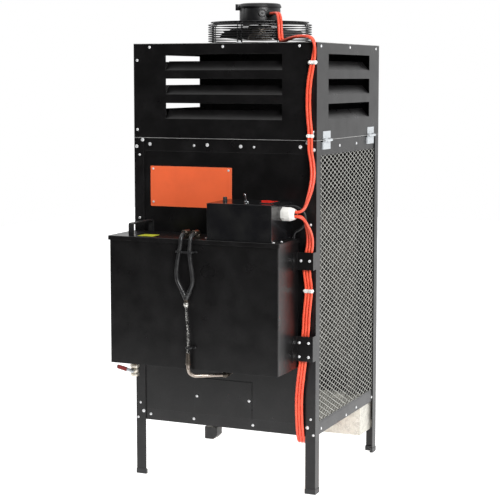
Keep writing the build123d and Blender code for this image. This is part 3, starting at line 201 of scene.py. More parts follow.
class HeaterColours(PropertyGroup):
    """Colours of the heater's finishes"""

    paint: colour("Powder Coat", "Satin coat of the cabinet and the tank", (0.0052, 0.0049, 0.0051))
    net: colour("Side Nets", "Coat of the expanded side nets", (0.49, 0.49, 0.455))
    plate: colour("Front Plate", "Enamel of the bare front plate", (1.0, 0.165, 0.055))
    cable: colour("Cables", "Silicone sheath of the cables", (0.86, 0.085, 0.04))
    plastic: colour("Gland and Ties", "Plastic of the gland and the ties", (0.86, 0.85, 0.81))
    sticker: colour("Lid Strip", "Blank strip on the tank lid", (0.62, 0.66, 0.05))
    floor: colour("Studio Floor", "Pale floor that the heater stands on", (0.86, 0.86, 0.86))


class HeaterSizes(PropertyGroup):
    """Sizes of the heater's fine pieces"""

    cable: length("Cable Diameter", "Outside of one red cable", 0.004, 0.0078, 0.0075)
    hose: length("Hose Diameter", "Outside of one oil hose", 0.008, 0.012, 0.011)
    strand: length("Net Strand", "Thickness of the nets' strands", 0.001, 0.003, 0.0018)
    net_width: length("Net Width", "Length of one diamond of the nets", 0.02, 0.06, 0.0322)
    net_height: length("Net Height", "Height of one diamond of the nets", 0.01, 0.04, 0.0152)
    guard_wire: length("Guard Wire", "Diameter of the fan guard's wires", 0.002, 0.004, 0.0031)


def at(x, y, z):
    """A place on the heater, given in millimetres from the cabinet."""
    return Vector((MIDDLE_X + x * MM, FRONT_Y + y * MM, z * MM))


def rest():
    """Leaves edit mode and deselects everything."""
    if bpy.context.mode != "OBJECT":
        bpy.ops.object.mode_set(mode="OBJECT")
    bpy.ops.object.select_all(action="DESELECT")


def hold(*pieces):
    """Selects pieces only, the first as the active one."""
    rest()
    for piece in pieces:
        piece.select_set(True)
    bpy.context.view_layer.objects.active = pieces[0]
    return pieces[0]


def settle(piece):
    """Puts a piece's place, turn and scale into its mesh."""
    hold(piece)
    bpy.ops.object.transform_apply(location=True, rotation=True, scale=True)
    return piece


def call(piece, name):
    """Names a piece and its mesh."""
    piece.name = name
    piece.data.name = name
    return piece


def edit(piece, kind="FACE"):
    """Opens a piece for editing with nothing selected."""
    hold(piece)
    bpy.ops.object.mode_set(mode="EDIT")
    bpy.ops.mesh.select_mode(type=kind)
    bpy.ops.mesh.select_all(action="DESELECT")


def pick(kind, test):
    """Selects the open piece's points, edges or faces that pass a test."""
    mesh = bmesh.from_edit_mesh(bpy.context.edit_object.data)
    for part in getattr(mesh, kind):
        part.select_set(test(part))
    mesh.select_flush_mode()
    bmesh.update_edit_mesh(bpy.context.edit_object.data)


def pick_points(test):
    """Selects the open piece's points whose place passes a test."""
    pick("verts", lambda point: test(point.co))


def pick_edges(test):
    """Selects the open piece's edges whose two ends pass a test."""
    pick("edges", lambda edge: test(edge.verts[0].co, edge.verts[1].co))


def pick_faces(test):
    """Selects the open piece's faces whose middle and normal pass a test."""
    pick("faces", lambda face: test(face.calc_center_median(), face.normal))


def step_in(margin, step):
    """Insets the picked faces and moves what is inside, both in millimetres."""
    bpy.ops.mesh.inset(thickness=margin * MM)
    bpy.ops.mesh.extrude_region_move(TRANSFORM_OT_translate={"value": Vector(step) * MM})


def hollow_ends(piece, margin):
    """Opens a block from top to bottom, leaving a wall of the margin in millimetres."""
    edit(piece)
    pick_faces(lambda middle, normal: abs(normal.z) > 0.9)
    bpy.ops.mesh.inset(thickness=margin * MM)
    bpy.ops.mesh.bridge_edge_loops()


def round_along(piece, axis, radius, segments, chosen=lambda place: True):
    """Rounds a piece's chosen edges that run along an axis, the radius in millimetres."""
    edit(piece, "EDGE")
    pick_edges(lambda a, b: abs(a[axis] - b[axis]) > 0.1 * MM and chosen(a))
    bpy.ops.mesh.bevel(offset=radius * MM, segments=segments)


def notch(piece, low, high, count, margin, depth):
    """Sinks every second face of a turned wall between two heights in millimetres."""
    edit(piece)
    pick_faces(lambda middle, normal: low * MM < middle.z < high * MM and abs(normal.z) < 0.3
               and round((atan2(middle.y, middle.x) % tau) / tau * count - 0.5) % 2 == 0)
    bpy.ops.mesh.inset(thickness=margin * MM, use_individual=True)
    bpy.ops.transform.shrink_fatten(value=-depth * MM)


def apply(piece, kind, **settings):
    """Adds a modifier to a piece and applies it."""
    hold(piece)
    modifier = piece.modifiers.new(kind.title(), kind)
    for setting, value in settings.items():
        setattr(modifier, setting, value)
    bpy.ops.object.modifier_apply(modifier=modifier.name)
    return piece


def soften(piece, width, segments=2, angle=30):
    """Rounds a piece's sharp edges, the width in millimetres."""
    return apply(piece, "BEVEL", width=width * MM, segments=segments, limit_method="ANGLE",
                 angle_limit=radians(angle))


def block(name, x, y, z):
    """A box between the two ends given along each axis, in millimetres."""
    low, high = at(x[0], y[0], z[0]), at(x[1], y[1], z[1])
    rest()
    bpy.ops.mesh.primitive_cube_add(size=1, location=(low + high) / 2, scale=high - low)
    return settle(call(bpy.context.active_object, name))


def bar(name, x, y, z):
    """A box about the world's origin, between the two ends given along each axis."""
    piece = block(name, x, y, z)
    piece.data.transform(Matrix.Translation(-at(0, 0, 0)))
    return piece


def way(angle):
    """The level direction at an angle in degrees from x."""
    return Vector((cos(radians(angle)), sin(radians(angle)), 0))


def about_fan(piece, angle):
    """Takes a piece from the world's origin to the fan's axis and turns it about that."""
    piece.data.transform(Matrix.Translation(at(0, MIDDLE_Y, 0)) @ Matrix.Rotation(angle, 4, "Z"))
    return piece


def turned(name, outline, steps=32):
    """A piece turned about the world's Z axis from an outline of radius and height in
    millimetres."""
    rest()
    bpy.ops.mesh.primitive_plane_add(size=MM, location=(0, 0, 0))
    piece = call(bpy.context.active_object, name)
    bpy.ops.object.mode_set(mode="EDIT")
    bpy.ops.mesh.select_mode(type="VERT")
    bpy.ops.mesh.select_all(action="SELECT")
    bpy.ops.mesh.merge(type="CENTER")
    radius, height = outline[0]
    bpy.ops.transform.translate(value=(radius * MM, 0, height * MM))
    for (radius, height), (next_radius, next_height) in zip(outline, outline[1:]):
        step = ((next_radius - radius) * MM, 0, (next_height - height) * MM)
        bpy.ops.mesh.extrude_region_move(TRANSFORM_OT_translate={"value": step})
    bpy.ops.mesh.select_all(action="SELECT")
    bpy.ops.mesh.spin(steps=steps, angle=tau, center=(0, 0, 0), axis=(0, 0, 1))
    bpy.ops.mesh.select_all(action="SELECT")
    bpy.ops.mesh.remove_doubles(threshold=1e-6)
    bpy.ops.mesh.normals_make_consistent(inside=False)
    rest()
    return piece


def hexagon(name, across, height):
    """A hexagon bar standing on the world's origin, with a raised washer face, sizes in
    millimetres."""
    rest()
    bpy.ops.mesh.primitive_cylinder_add(
        vertices=6, radius=across / 2 * MM / cos(pi / 6), depth=height * MM,
        location=(0, 0, height / 2 * MM))
    piece = settle(call(bpy.context.active_object, name))
    edit(piece)
    pick_faces(lambda middle, normal: normal.z > 0.9)
    step_in(across * 0.06, (0, 0, 0.6))
    return soften(piece, 0.5)


def stand(piece, place, direction=(0, 0, 1), turn=0.0):
    """Puts a piece made on the world's Z axis at its place, that axis along a direction."""
    lean = Vector((0, 0, 1)).rotation_difference(Vector(direction).normalized())
    piece.matrix_world = (Matrix.Translation(place) @ lean.to_matrix().to_4x4()
                          @ Matrix.Rotation(turn, 4, "Z"))
    return settle(piece)


def twin(piece):
    """A copy of a piece with its own mesh."""
    copy = piece.copy()
    copy.data = piece.data.copy()
    bpy.context.scene.collection.objects.link(copy)
    return copy


def join(name, pieces):
    """Pieces joined into one."""
    hold(*pieces)
    bpy.ops.object.join()
    return call(bpy.context.active_object, name)


def cut(piece, tool):
    """Takes the space of a tool out of a piece and removes the tool."""
    apply(piece, "BOOLEAN", operation="DIFFERENCE", solver="EXACT", object=tool)
    bpy.data.objects.remove(tool)
    return piece


def run(name, points, diameter, smoothness=10, sides=4, closed=False):
    """A round cable, hose or wire along a smooth line through a route in metres."""
    curve = bpy.data.curves.new(name, "CURVE")
    curve.dimensions = "3D"
    curve.resolution_u = smoothness
    curve.bevel_depth = diameter / 2
    curve.bevel_resolution = sides
    curve.use_fill_caps = True
    line = curve.splines.new("NURBS")
    line.points.add(len(points) - 1)
    for point, place in zip(line.points, points):
        point.co = (*place, 1)
    line.order_u = 3
    line.use_endpoint_u = not closed
    line.use_cyclic_u = closed
    piece = bpy.data.objects.new(name, curve)
    bpy.context.scene.collection.objects.link(piece)
    hold(piece)
    bpy.ops.object.convert(target="MESH")
    return call(bpy.context.active_object, name)


def strand(route, place):
    """The points of one cable beside a route, in metres."""
    return [at(*(Vector(point) + Vector(step) * place)) for point, step in route]


def finish(piece, body, slot, *nodes, look=None, angle=35):
    """Smooths a piece, gives it its finish and sets it on its body in place of CAD nodes."""
    settle(piece)
    bpy.ops.object.shade_smooth_by_angle(angle=radians(angle))
    piece.data.materials.clear()
    piece.data.materials.append(finishes()[look or slot])
    if body:
        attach(piece, body)
    if nodes:
        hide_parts(*nodes)
    rest()
    return piece


def grey(level):
    """A neutral colour."""
    return (level, level, level)


def add_node(tree, kind, inputs=None, **settings):
    """A shader node with its settings and the values of its inputs."""
    node = tree.nodes.new(kind)
    for setting, value in settings.items():
        setattr(node, setting, value)
    for socket, value in (inputs or {}).items():
        node.inputs[socket].default_value = value
    return node


class Surface:
    """A procedural material built up in layers on one shader."""

    def __init__(self, colour, metallic=0.0, roughness=0.5):
        self.material = bpy.data.materials.new("finish")
        self.material.use_nodes = True
        self.tree = self.material.node_tree
        self.shader = self.tree.nodes["Principled BSDF"]
        self.set(Base_Color=(*colour, 1), Roughness=roughness, Metallic=metallic)
        self.place = self.node("ShaderNodeTexCoord").outputs["Object"]

    def node(self, kind, inputs=None, **settings):
        return add_node(self.tree, kind, inputs, **settings)

    def link(self, out, into):
        self.tree.links.new(out, into)

    def noise(self, size, detail=3.0, stretch=(1, 1, 1)):
        """A noise whose patches are about the size given in millimetres."""
        mapping = self.node("ShaderNodeMapping", {"Scale": stretch})
        self.link(self.place, mapping.inputs["Vector"])
        noise = self.node("ShaderNodeTexNoise", {"Scale": 1 / (size * MM), "Detail": detail})
        self.link(mapping.outputs["Vector"], noise.inputs["Vector"])
        return noise.outputs["Fac"]

    def spread(self, value, low, high, to_low=0.0, to_high=1.0):
        """A value stretched from one range to another."""
        mapped = self.node("ShaderNodeMapRange", {
            "From Min": low, "From Max": high, "To Min": to_low, "To Max": to_high})
        self.link(value, mapped.inputs["Value"])
        return mapped.outputs["Result"]

    def tint(self, factor, colour):
        """Another colour where a factor is high."""
        mix = self.node("ShaderNodeMix", data_type="RGBA")
        base = self.shader.inputs["Base Color"]
        if base.is_linked:
            self.link(base.links[0].from_socket, mix.inputs["A"])
        else:
            mix.inputs["A"].default_value = base.default_value
        mix.inputs["B"].default_value = (*colour, 1)
        self.link(factor, mix.inputs["Factor"])
        self.link(mix.outputs["Result"], base)
        return self

    def patches(self, size, colour, low=0.4, high=0.7, stretch=(1, 1, 1)):
        """Soft patches of another colour."""
        return self.tint(self.spread(self.noise(size, stretch=stretch), low, high), colour)

    def uneven(self, size, low, high, stretch=(1, 1, 1)):
        """Roughness that varies in patches."""
        level = self.spread(self.noise(size, stretch=stretch), 0.3, 0.7, low, high)
        self.link(level, self.shader.inputs["Roughness"])
        return self

    def grain(self, size, depth, strength=0.4, rounding=0.0, stretch=(1, 1, 1)):
        """A fine relief, and edges that catch the light as if rounded."""
        bump = self.node("ShaderNodeBump", {"Strength": strength, "Distance": depth * MM})
        self.link(self.noise(size, stretch=stretch), bump.inputs["Height"])
        if rounding:
            bevel = self.node("ShaderNodeBevel", {"Radius": rounding * MM}, samples=4)
            self.link(bevel.outputs["Normal"], bump.inputs["Normal"])
        self.link(bump.outputs["Normal"], self.shader.inputs["Normal"])
        return self

    def edge_wear_and_highlight(self, radius, colour):
        """A lighter colour along the sharp edges, partly wear and partly a painted highlight where
        they catch the light.
        """
        bevel = self.node("ShaderNodeBevel", {"Radius": radius * MM}, samples=4)
        flat = self.node("ShaderNodeNewGeometry")
        across = self.node("ShaderNodeVectorMath", operation="DOT_PRODUCT")
        self.link(bevel.outputs["Normal"], across.inputs[0])
        self.link(flat.outputs["Normal"], across.inputs[1])
        return self.tint(self.spread(across.outputs["Value"], 0.98, 0.75), colour)

    def set(self, **values):
        """Fixed values on the shader's own sockets."""
        for socket, value in values.items():
            self.shader.inputs[socket.replace("_", " ")].default_value = value
        return self


def powder_coat(colour):
    """Satin black powder coat with an orange-peel skin, faint clouds and lighter edges that are
    partly wear and partly a painted highlight.
    """
    lighter = tuple(channel * 1.6 + 0.0012 for channel in colour)
    darker = tuple(channel * 0.7 for channel in colour)
    return (Surface(colour).patches(45, lighter).patches(7, darker, 0.5, 0.75)
            .uneven(60, 0.27, 0.36).edge_wear_and_highlight(0.9, grey(0.04)).grain(1.1, 0.09, 0.25, 0.8)
            .set(Specular_IOR_Level=0.4))


def make_materials(colours):
    """Every finish of the heater by its name, which is mostly that of its slot in the record."""
    paint = tuple(colours.paint)
    white = tuple(colours.plastic)
    # Lighter edges on the coats, the plate and the gloss are partly wear and partly a painted
    # highlight
    surfaces = {
        "frame_paint": powder_coat(tuple(channel * 1.3 for channel in paint)),
        "panel_paint": powder_coat(paint),
        "tank_paint": powder_coat(paint),
        "fan_paint": Surface((0.007, 0.007, 0.008))
            .patches(30, grey(0.015)).uneven(25, 0.32, 0.46)
            .edge_wear_and_highlight(0.8, grey(0.05)).grain(1.4, 0.08, 0.2, 0.6),
        "orange_paint": Surface(tuple(colours.plate))
            .patches(60, (0.93, 0.15, 0.05)).uneven(30, 0.36, 0.5)
            .edge_wear_and_highlight(0.7, (1.0, 0.36, 0.2)).grain(1.6, 0.03, 0.2, 0.4),
        "net_paint": Surface(tuple(colours.net), 0.25)
            .patches(40, (0.42, 0.42, 0.39)).uneven(20, 0.34, 0.5).grain(1.5, 0.1, 0.3),
        "galvanised": Surface((0.7, 0.675, 0.6), 0.5)
            .patches(14, (0.58, 0.56, 0.5), 0.45, 0.6).patches(4, (0.76, 0.74, 0.68), 0.55, 0.6)
            .uneven(10, 0.38, 0.56).grain(3, 0.05, 0.2, 0.6),
        "zinc": Surface((0.62, 0.65, 0.67), 0.5)
            .patches(9, (0.56, 0.59, 0.62)).uneven(7, 0.36, 0.5).grain(1.1, 0.02, 0.2, 0.3),
        "black_plastic": Surface((0.011, 0.011, 0.012))
            .patches(12, grey(0.022)).uneven(9, 0.32, 0.46).grain(0.7, 0.05, 0.3, 0.5),
        "black_rubber": Surface(grey(0.014))
            .patches(9, (0.03, 0.029, 0.028)).uneven(6, 0.55, 0.75).grain(0.6, 0.06, 0.4),
        "hose_rubber": Surface((0.013, 0.013, 0.014))
            .patches(14, grey(0.03)).uneven(12, 0.3, 0.42).grain(0.9, 0.05, 0.3),
        "screw_zinc": Surface((0.88, 0.89, 0.9), 0.3)
            .patches(5, grey(0.8)).uneven(4, 0.32, 0.44).grain(1.1, 0.02, 0.2, 0.3),
        # Grey of the strips that paint a highlight along the cabinet's seam and top edge
        "bare_edge": Surface((0.42, 0.42, 0.41), 0.3)
            .patches(30, grey(0.25)).uneven(20, 0.35, 0.5).grain(2, 0.02, 0.2, 0.3),
        "dark_fitting": Surface((0.1, 0.085, 0.068), 0.85)
            .patches(5, (0.06, 0.05, 0.042)).uneven(4, 0.3, 0.45).grain(1, 0.05, 0.3, 0.4),
        "brass": Surface((0.82, 0.78, 0.69), 0.6)
            .patches(6, (0.7, 0.63, 0.52)).uneven(5, 0.28, 0.42).grain(1.2, 0.05, 0.3, 0.5),
        "red_plastic": Surface((0.36, 0.026, 0.022))
            .patches(9, (0.28, 0.02, 0.018)).uneven(7, 0.34, 0.48).grain(0.8, 0.05, 0.3, 0.4),
        "black_gloss": Surface((0.007, 0.007, 0.008))
            .patches(50, grey(0.014)).uneven(40, 0.14, 0.24)
            .edge_wear_and_highlight(1.0, grey(0.05)).grain(2.2, 0.04, 0.2, 0.9),
        "switch_black": Surface((0.016, 0.018, 0.019))
            .patches(6, (0.028, 0.03, 0.031)).uneven(5, 0.26, 0.4).grain(0.5, 0.04, 0.3, 0.3),
        "chrome": Surface((0.5, 0.51, 0.53), 1.0)
            .patches(5, (0.4, 0.41, 0.43)).uneven(4, 0.14, 0.24).grain(2, 0.01, 0.2, 0.2),
        "red_rocker": Surface((0.7, 0.03, 0.02))
            .patches(12, (0.58, 0.022, 0.015)).uneven(8, 0.14, 0.24).grain(2, 0.02, 0.2, 0.5),
        "white_plastic": Surface(white)
            .patches(8, tuple(channel * 0.94 for channel in white))
            .uneven(6, 0.36, 0.5).grain(0.9, 0.05, 0.25, 0.4),
        "cast_metal": Surface((0.045, 0.043, 0.04), 0.5)
            .patches(12, (0.08, 0.06, 0.045)).uneven(8, 0.5, 0.8).grain(1.4, 0.3, 0.7, 0.8),
        "machined_steel": Surface((0.66, 0.65, 0.62), 0.9)
            .patches(6, (0.48, 0.45, 0.4)).uneven(4, 0.2, 0.38).grain(1, 0.05, 0.3, 0.4, (1, 1, 6)),
        "motor_black": Surface(grey(0.02))
            .patches(15, (0.035, 0.035, 0.034)).uneven(10, 0.35, 0.5).grain(1.2, 0.1, 0.4, 0.6),
        "steel_pipe": Surface((0.35, 0.3, 0.26), 0.9)
            .patches(9, (0.22, 0.18, 0.15)).patches(3, (0.48, 0.44, 0.4), 0.55, 0.65)
            .uneven(6, 0.24, 0.42).grain(1.5, 0.04, 0.3),
        "red_cable": Surface(tuple(colours.cable))
            .patches(30, (0.9, 0.12, 0.055)).patches(3, (0.7, 0.06, 0.03), 0.6, 0.8)
            .uneven(15, 0.32, 0.46).grain(1.3, 0.06, 0.3),
        "drum_steel": Surface((0.05, 0.049, 0.046), 0.35)
            .patches(70, (0.1, 0.092, 0.082)).uneven(40, 0.42, 0.6).grain(2, 0.15, 0.4, 1),
        "cast_aluminium": Surface((0.23, 0.2, 0.17), 0.85)
            .patches(10, (0.16, 0.14, 0.12)).uneven(7, 0.34, 0.5).grain(1.2, 0.12, 0.5, 0.5),
        "braid": braided_wire(),
        "lid_strip": Surface(tuple(colours.sticker))
            .patches(15, (0.5, 0.56, 0.04)).uneven(12, 0.3, 0.45).grain(2, 0.03, 0.2),
    }
    for name, surface in surfaces.items():
        surface.material.name = name
        surface.material["heater_finish"] = name
    return {name: surface.material for name, surface in surfaces.items()}


def braided_wire():
    """Two sets of steel strands wound round a hose, crossing each other, their crests painted light
    as a highlight on a ground painted dark as shade.
    """
    wire = Surface(grey(0.03), 0.85, 0.3)
    along = wire.node("ShaderNodeUVMap")
    split = wire.node("ShaderNodeSeparateXYZ")
    wire.link(along.outputs["UV"], split.inputs["Vector"])
    turns, strands = 30, 2
    heights = []
    for side in (-1, 1):
        lean = wire.node("ShaderNodeMath", {1: side * turns * tau}, operation="MULTIPLY_ADD")
        wire.link(split.outputs["Y"], lean.inputs[0])
        around = wire.node("ShaderNodeMath", {1: strands * tau}, operation="MULTIPLY")
        wire.link(split.outputs["X"], around.inputs[0])
        wire.link(around.outputs["Value"], lean.inputs[2])
        wave = wire.node("ShaderNodeMath", operation="SINE")
        wire.link(lean.outputs["Value"], wave.inputs[0])
        heights.append(wave.outputs["Value"])
    top = wire.node("ShaderNodeMath", operation="MAXIMUM")
    wire.link(heights[0], top.inputs[0])
    wire.link(heights[1], top.inputs[1])
    # The strands' crests are painted light as a highlight, and the dark ground between them is
    # painted shade
    wire.tint(wire.spread(top.outputs["Value"], 0.7, 1.0), (0.62, 0.61, 0.58))
    wire.uneven(3, 0.2, 0.4)
    bump = wire.node("ShaderNodeBump", {"Strength": 0.9, "Distance": 0.5 * MM})
    wire.link(top.outputs["Value"], bump.inputs["Height"])
    wire.link(bump.outputs["Normal"], wire.shader.inputs["Normal"])
    return wire


def finishes():
    """The finishes that the first operator made, by name."""
    made = {material["heater_finish"]: material for material in bpy.data.materials
            if "heater_finish" in material}
    if not made:
        raise RuntimeError("run heater.finishes first")
    return made


class HEATER_OT_finishes(Operator):
    """Makes every finish and gives each CAD part its own"""

    bl_idname = "heater.finishes"
    bl_label = "Finishes"

    def execute(self, context):
        made = make_materials(context.scene.heater_colours)
        for part in frame["record"]["subparts"]:
            node = frame["nodes"][part["node"]]
            node.data.materials.clear()
            look = LOOKS.get(part["node"], part["material_slot"])
            node.data.materials.append(made[look])
        return {"FINISHED"}


class HEATER_OT_cables(Operator):
    """Three red cables down to the air box and two up to the fan motor"""

    bl_idname = "heater.cables"
    bl_label = "Red Cables"

    def execute(self, context):
        diameter = context.scene.heater_sizes.cable
        down = join("red_cables_down", [
            run("cable_down", strand(CABLES_DOWN, place), diameter) for place in (-1, 0, 1)])
        finish(down, "frame", "red_cable", "cables_down", angle=60)
        up = join("red_cables_up", [
            run("cable_up", strand(CABLES_UP, place), diameter) for place in (-0.5, 0.5)])
        finish(up, None, "red_cable", "cables_up", "cables_top", angle=60)
        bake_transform(up)
        return {"FINISHED"}


def tie_band(name, x, y, z, head_x):
    """A white tie round flat-lying cables, pinched in the middle, with its head."""
    wall = 1.1
    band = block(name, (x[0] - wall, x[1] + wall), (y[0] - wall, y[1] + wall), z)
    edit(band)
    pick_faces(lambda middle, normal: abs(normal.z) > 0.9)
    bpy.ops.mesh.delete(type="FACE")
    round_along(band, 2, 4, 5)
    middle = at((x[0] + x[1]) / 2, (y[0] + y[1]) / 2, z[0])
    bpy.ops.mesh.select_all(action="SELECT")
    bpy.ops.mesh.bisect(plane_co=middle, plane_no=(1, 0, 0))
    bpy.ops.mesh.select_mode(type="VERT")
    pick_points(lambda place: abs(place.x - middle.x) < 0.1 * MM)
    bpy.ops.transform.resize(value=(1, 0.68, 1), center_override=middle)
    apply(band, "SOLIDIFY", thickness=wall * MM, offset=-1)
    soften(band, 0.3, 1)
    head = block(name + "_head", (head_x - 3, head_x + 3), (y[0] - wall - 3, y[0] - wall + 0.4),
                 (z[0] + 1.5, z[1] - 1.5))
    edit(head)
    pick_faces(lambda middle, normal: normal.y < -0.9)
    step_in(1.2, (0, 0.8, 0))
    soften(head, 0.35, 2)
    return join(name, [band, head])


class HEATER_OT_ties(Operator):
    """White ties round the red cables"""

    bl_idname = "heater.ties"
    bl_label = "Cable Ties"

    def execute(self, context):
        for name, (body, *place) in TIES.items():
            finish(tie_band(name, *place), body, "white_plastic")
        return {"FINISHED"}


class HEATER_OT_side_nets(Operator):
    """Both side panels of fine expanded net in their borders"""

    bl_idname = "heater.side_nets"
    bl_label = "Side Nets"

    def execute(self, context):
        sizes = context.scene.heater_sizes
        width, height = sizes.net_width, sizes.net_height
        columns, rows = 17, 50
        low = at(NET_X, 10.7, 198)
        rest()
        bpy.ops.mesh.primitive_plane_add(size=1, location=low, rotation=(0, pi / 2, 0))
        bpy.context.active_object.scale = (height, width, 1)
        net = settle(call(bpy.context.active_object, "net_pattern"))
        edit(net)
        bpy.ops.mesh.select_all(action="SELECT")
        bpy.ops.mesh.poke()
        for count, step in ((columns, (0, width, 0)), (rows, (0, 0, height))):
            apply(net, "ARRAY", count=count, use_relative_offset=False, use_constant_offset=True,
                  constant_offset_displace=step, use_merge_vertices=True,
                  merge_threshold=0.1 * MM)
        edit(net, "EDGE")
        pick_edges(lambda a, b: abs(a.y - b.y) < 1 * MM or abs(a.z - b.z) < 1 * MM)
        mesh = bmesh.from_edit_mesh(net.data)
        for edge in mesh.edges:
            if edge.is_boundary:
                edge.select_set(False)
        mesh.select_flush_mode()
        bpy.ops.mesh.dissolve_edges(use_verts=False)
        bpy.ops.mesh.select_mode(type="VERT")
        pick_points(lambda place: round((place.z - low.z) / (height / 2)) % 2 == 0)
        bpy.ops.transform.translate(value=(-0.4 * MM, 0, 0))
        apply(net, "WIREFRAME", thickness=sizes.strand, use_even_offset=True,
              use_boundary=False, use_replace=True)
        edit(net)
        for place, normal in (((0, NET_Y[0], 0), (0, -1, 0)), ((0, NET_Y[1], 0), (0, 1, 0)),
                              ((0, 0, NET_Z[0]), (0, 0, -1)), ((0, 0, NET_Z[1]), (0, 0, 1))):
            bpy.ops.mesh.select_all(action="SELECT")
            bpy.ops.mesh.bisect(plane_co=at(*place), plane_no=normal, clear_outer=True,
                                use_fill=True)
        rest()
        border = self.border()
        for side in (1, -1):
            for piece, slot, name in ((net, "net_paint", "net"), (border, "frame_paint", "border")):
                placed = twin(piece)
                if side > 0:
                    across = Matrix.Translation((MIDDLE_X, 0, 0)) @ Matrix.Scale(-1, 4, (1, 0, 0)) \
                        @ Matrix.Translation((-MIDDLE_X, 0, 0))
                    placed.data.transform(across)
                    placed.data.flip_normals()
                word = "right_side_" if side > 0 else "left_side_"
                call(placed, word + name)
                nodes = ("side_meshes",) if name == "net" else ()
                finish(placed, "frame", slot, *nodes, angle=20)
        bpy.data.objects.remove(net)
        bpy.data.objects.remove(border)
        return {"FINISHED"}

    def border(self):
        """Plain steel border of the left net, wider at the front."""
        outside, over = NET_X - 0.8, 0.3
        low = at(outside, NET_Y[0] - over, NET_Z[0] - over)
        high = at(outside, NET_Y[1] + over, NET_Z[1] + over)
        middle = (low + high) / 2
        rest()
        bpy.ops.mesh.primitive_plane_add(size=1, location=middle, rotation=(0, -pi / 2, 0))
        bpy.context.active_object.scale = (high.z - low.z, high.y - low.y, 1)
        border = settle(call(bpy.context.active_object, "net_border"))
        edit(border)
        bpy.ops.mesh.select_all(action="SELECT")
        bpy.ops.mesh.inset(thickness=5 * MM)
        bpy.ops.mesh.delete(type="FACE")
        bpy.ops.mesh.select_mode(type="VERT")
        pick_points(lambda place: low.y + 1 * MM < place.y < middle.y)
        bpy.ops.transform.translate(value=(0, 24 * MM, 0))
        pick_points(lambda place: middle.y < place.y < high.y - 1 * MM)
        bpy.ops.transform.translate(value=(0, -17 * MM, 0))
        return apply(border, "SOLIDIFY", thickness=1.2 * MM, offset=0)


class HEATER_OT_hoses(Operator):
    """Oil hoses, the loop of the sensor cable and the braided hose"""

    bl_idname = "heater.hoses"
    bl_label = "Hoses"

    def execute(self, context):
        size = context.scene.heater_sizes.hose
        hoses = [run("oil_hose", [at(*point) for point in route], size, sides=6)
                 for route in (LEFT_HOSE, RIGHT_HOSE)]
        sensor = run("sensor_cable", [at(*point) for point in SENSOR_LOOP], 7 * MM, sides=5)
        for route in (LEFT_HOSE, RIGHT_HOSE):
            arm = Vector(route[-1]) - Vector(JOINT)
            hoses.append(stand(ferrule("joint_sleeve", 6.9, 25), at(*JOINT), arm))
        oil = join("oil_hoses", hoses + [sensor])
        finish(oil, "frame", "hose_rubber", "black_hoses", angle=60)
        braid = run("braided_steel_hose", [at(*point) for point in BRAIDED], 8 * MM, 24, 10)
        finish(braid, "frame", "braid", "braided_hose", angle=60)
        return {"FINISHED"}


def ferrule(name, radius, length):
    """A crimped sleeve with two grooves, made on the world's Z axis."""
    groove = radius - 0.7
    return turned(name, [
        (0, 0), (radius, 0), (radius, length * 0.25), (groove, length * 0.32),
        (radius, length * 0.39), (radius, length * 0.6), (groove, length * 0.67),
        (radius, length * 0.74), (radius, length * 0.94), (radius - 0.8, length), (0, length),
    ], 20)


class HEATER_OT_hose_fittings(Operator):
    """Sleeves, nuts and clamps of the oil hoses"""

    bl_idname = "heater.hose_fittings"
    bl_label = "Hose Fittings"

    def execute(self, context):
        dark = []
        for x, y, z in (LEFT_HOSE[0], RIGHT_HOSE[0]):
            dark.append(stand(ferrule("lid_sleeve", 7.9, 13), at(x, y, z), (0, -1, 0)))
            dark.append(stand(hexagon("elbow_nut", 17, 6), at(x, ELBOW_Y, LID_TOP + 5)))
        top, bottom = Vector(BRAIDED[0]), Vector(BRAIDED[-1])
        dark.append(stand(ferrule("pipe_sleeve", 6.2, 14), at(*bottom), (0, 0, 1)))
        dark.append(stand(hexagon("pipe_nut", 13.2, 9), at(bottom.x, bottom.y, 372)))
        finish(join("dark_sleeves", dark), "frame", "machined_steel", look="dark_fitting")
        bright = [stand(hexagon("joint_nut", 12.6, 8), at(*top) + Vector((0, 0, -4 * MM))),
                  stand(ferrule("braid_sleeve", 5.9, 8), at(*top), (0, 0, -1))]
        finish(join("joint_collar", bright), "frame", "machined_steel")
        clamps = join("clamp_bands", [self.band(*place) for place in BANDS])
        finish(clamps, "frame", "black_plastic", "hose_clamps")
        return {"FINISHED"}

    def band(self, x, z, reach):
        """A thin band over a hose, with a lug and a screw at each end."""
        height = (z - 2.5, z + 2.5)
        band = block("band", x, (reach, TANK_FRONT), height)
        edit(band)
        pick_faces(lambda middle, normal: abs(normal.z) > 0.9 or normal.y > 0.9)
        bpy.ops.mesh.delete(type="FACE")
        round_along(band, 2, 5, 5, lambda place: place.y < at(0, TANK_FRONT - 4, 0).y)
        apply(band, "SOLIDIFY", thickness=1.5 * MM, offset=-1)
        parts = [soften(band, 0.3, 1)]
        for edge, outward in ((x[0], -1), (x[1], 1)):
            end = edge + outward * 7
            lug = block("lug", sorted((edge, end)), (TANK_FRONT - 1.6, TANK_FRONT), height)
            parts.append(soften(lug, 0.5))
            screw = hexagon("clamp_screw", 3.6, 1.2)
            place = at(edge + outward * 3.6, TANK_FRONT - 1.6, z)
            parts.append(stand(screw, place, (0, -1, 0)))
        return join("band", parts)


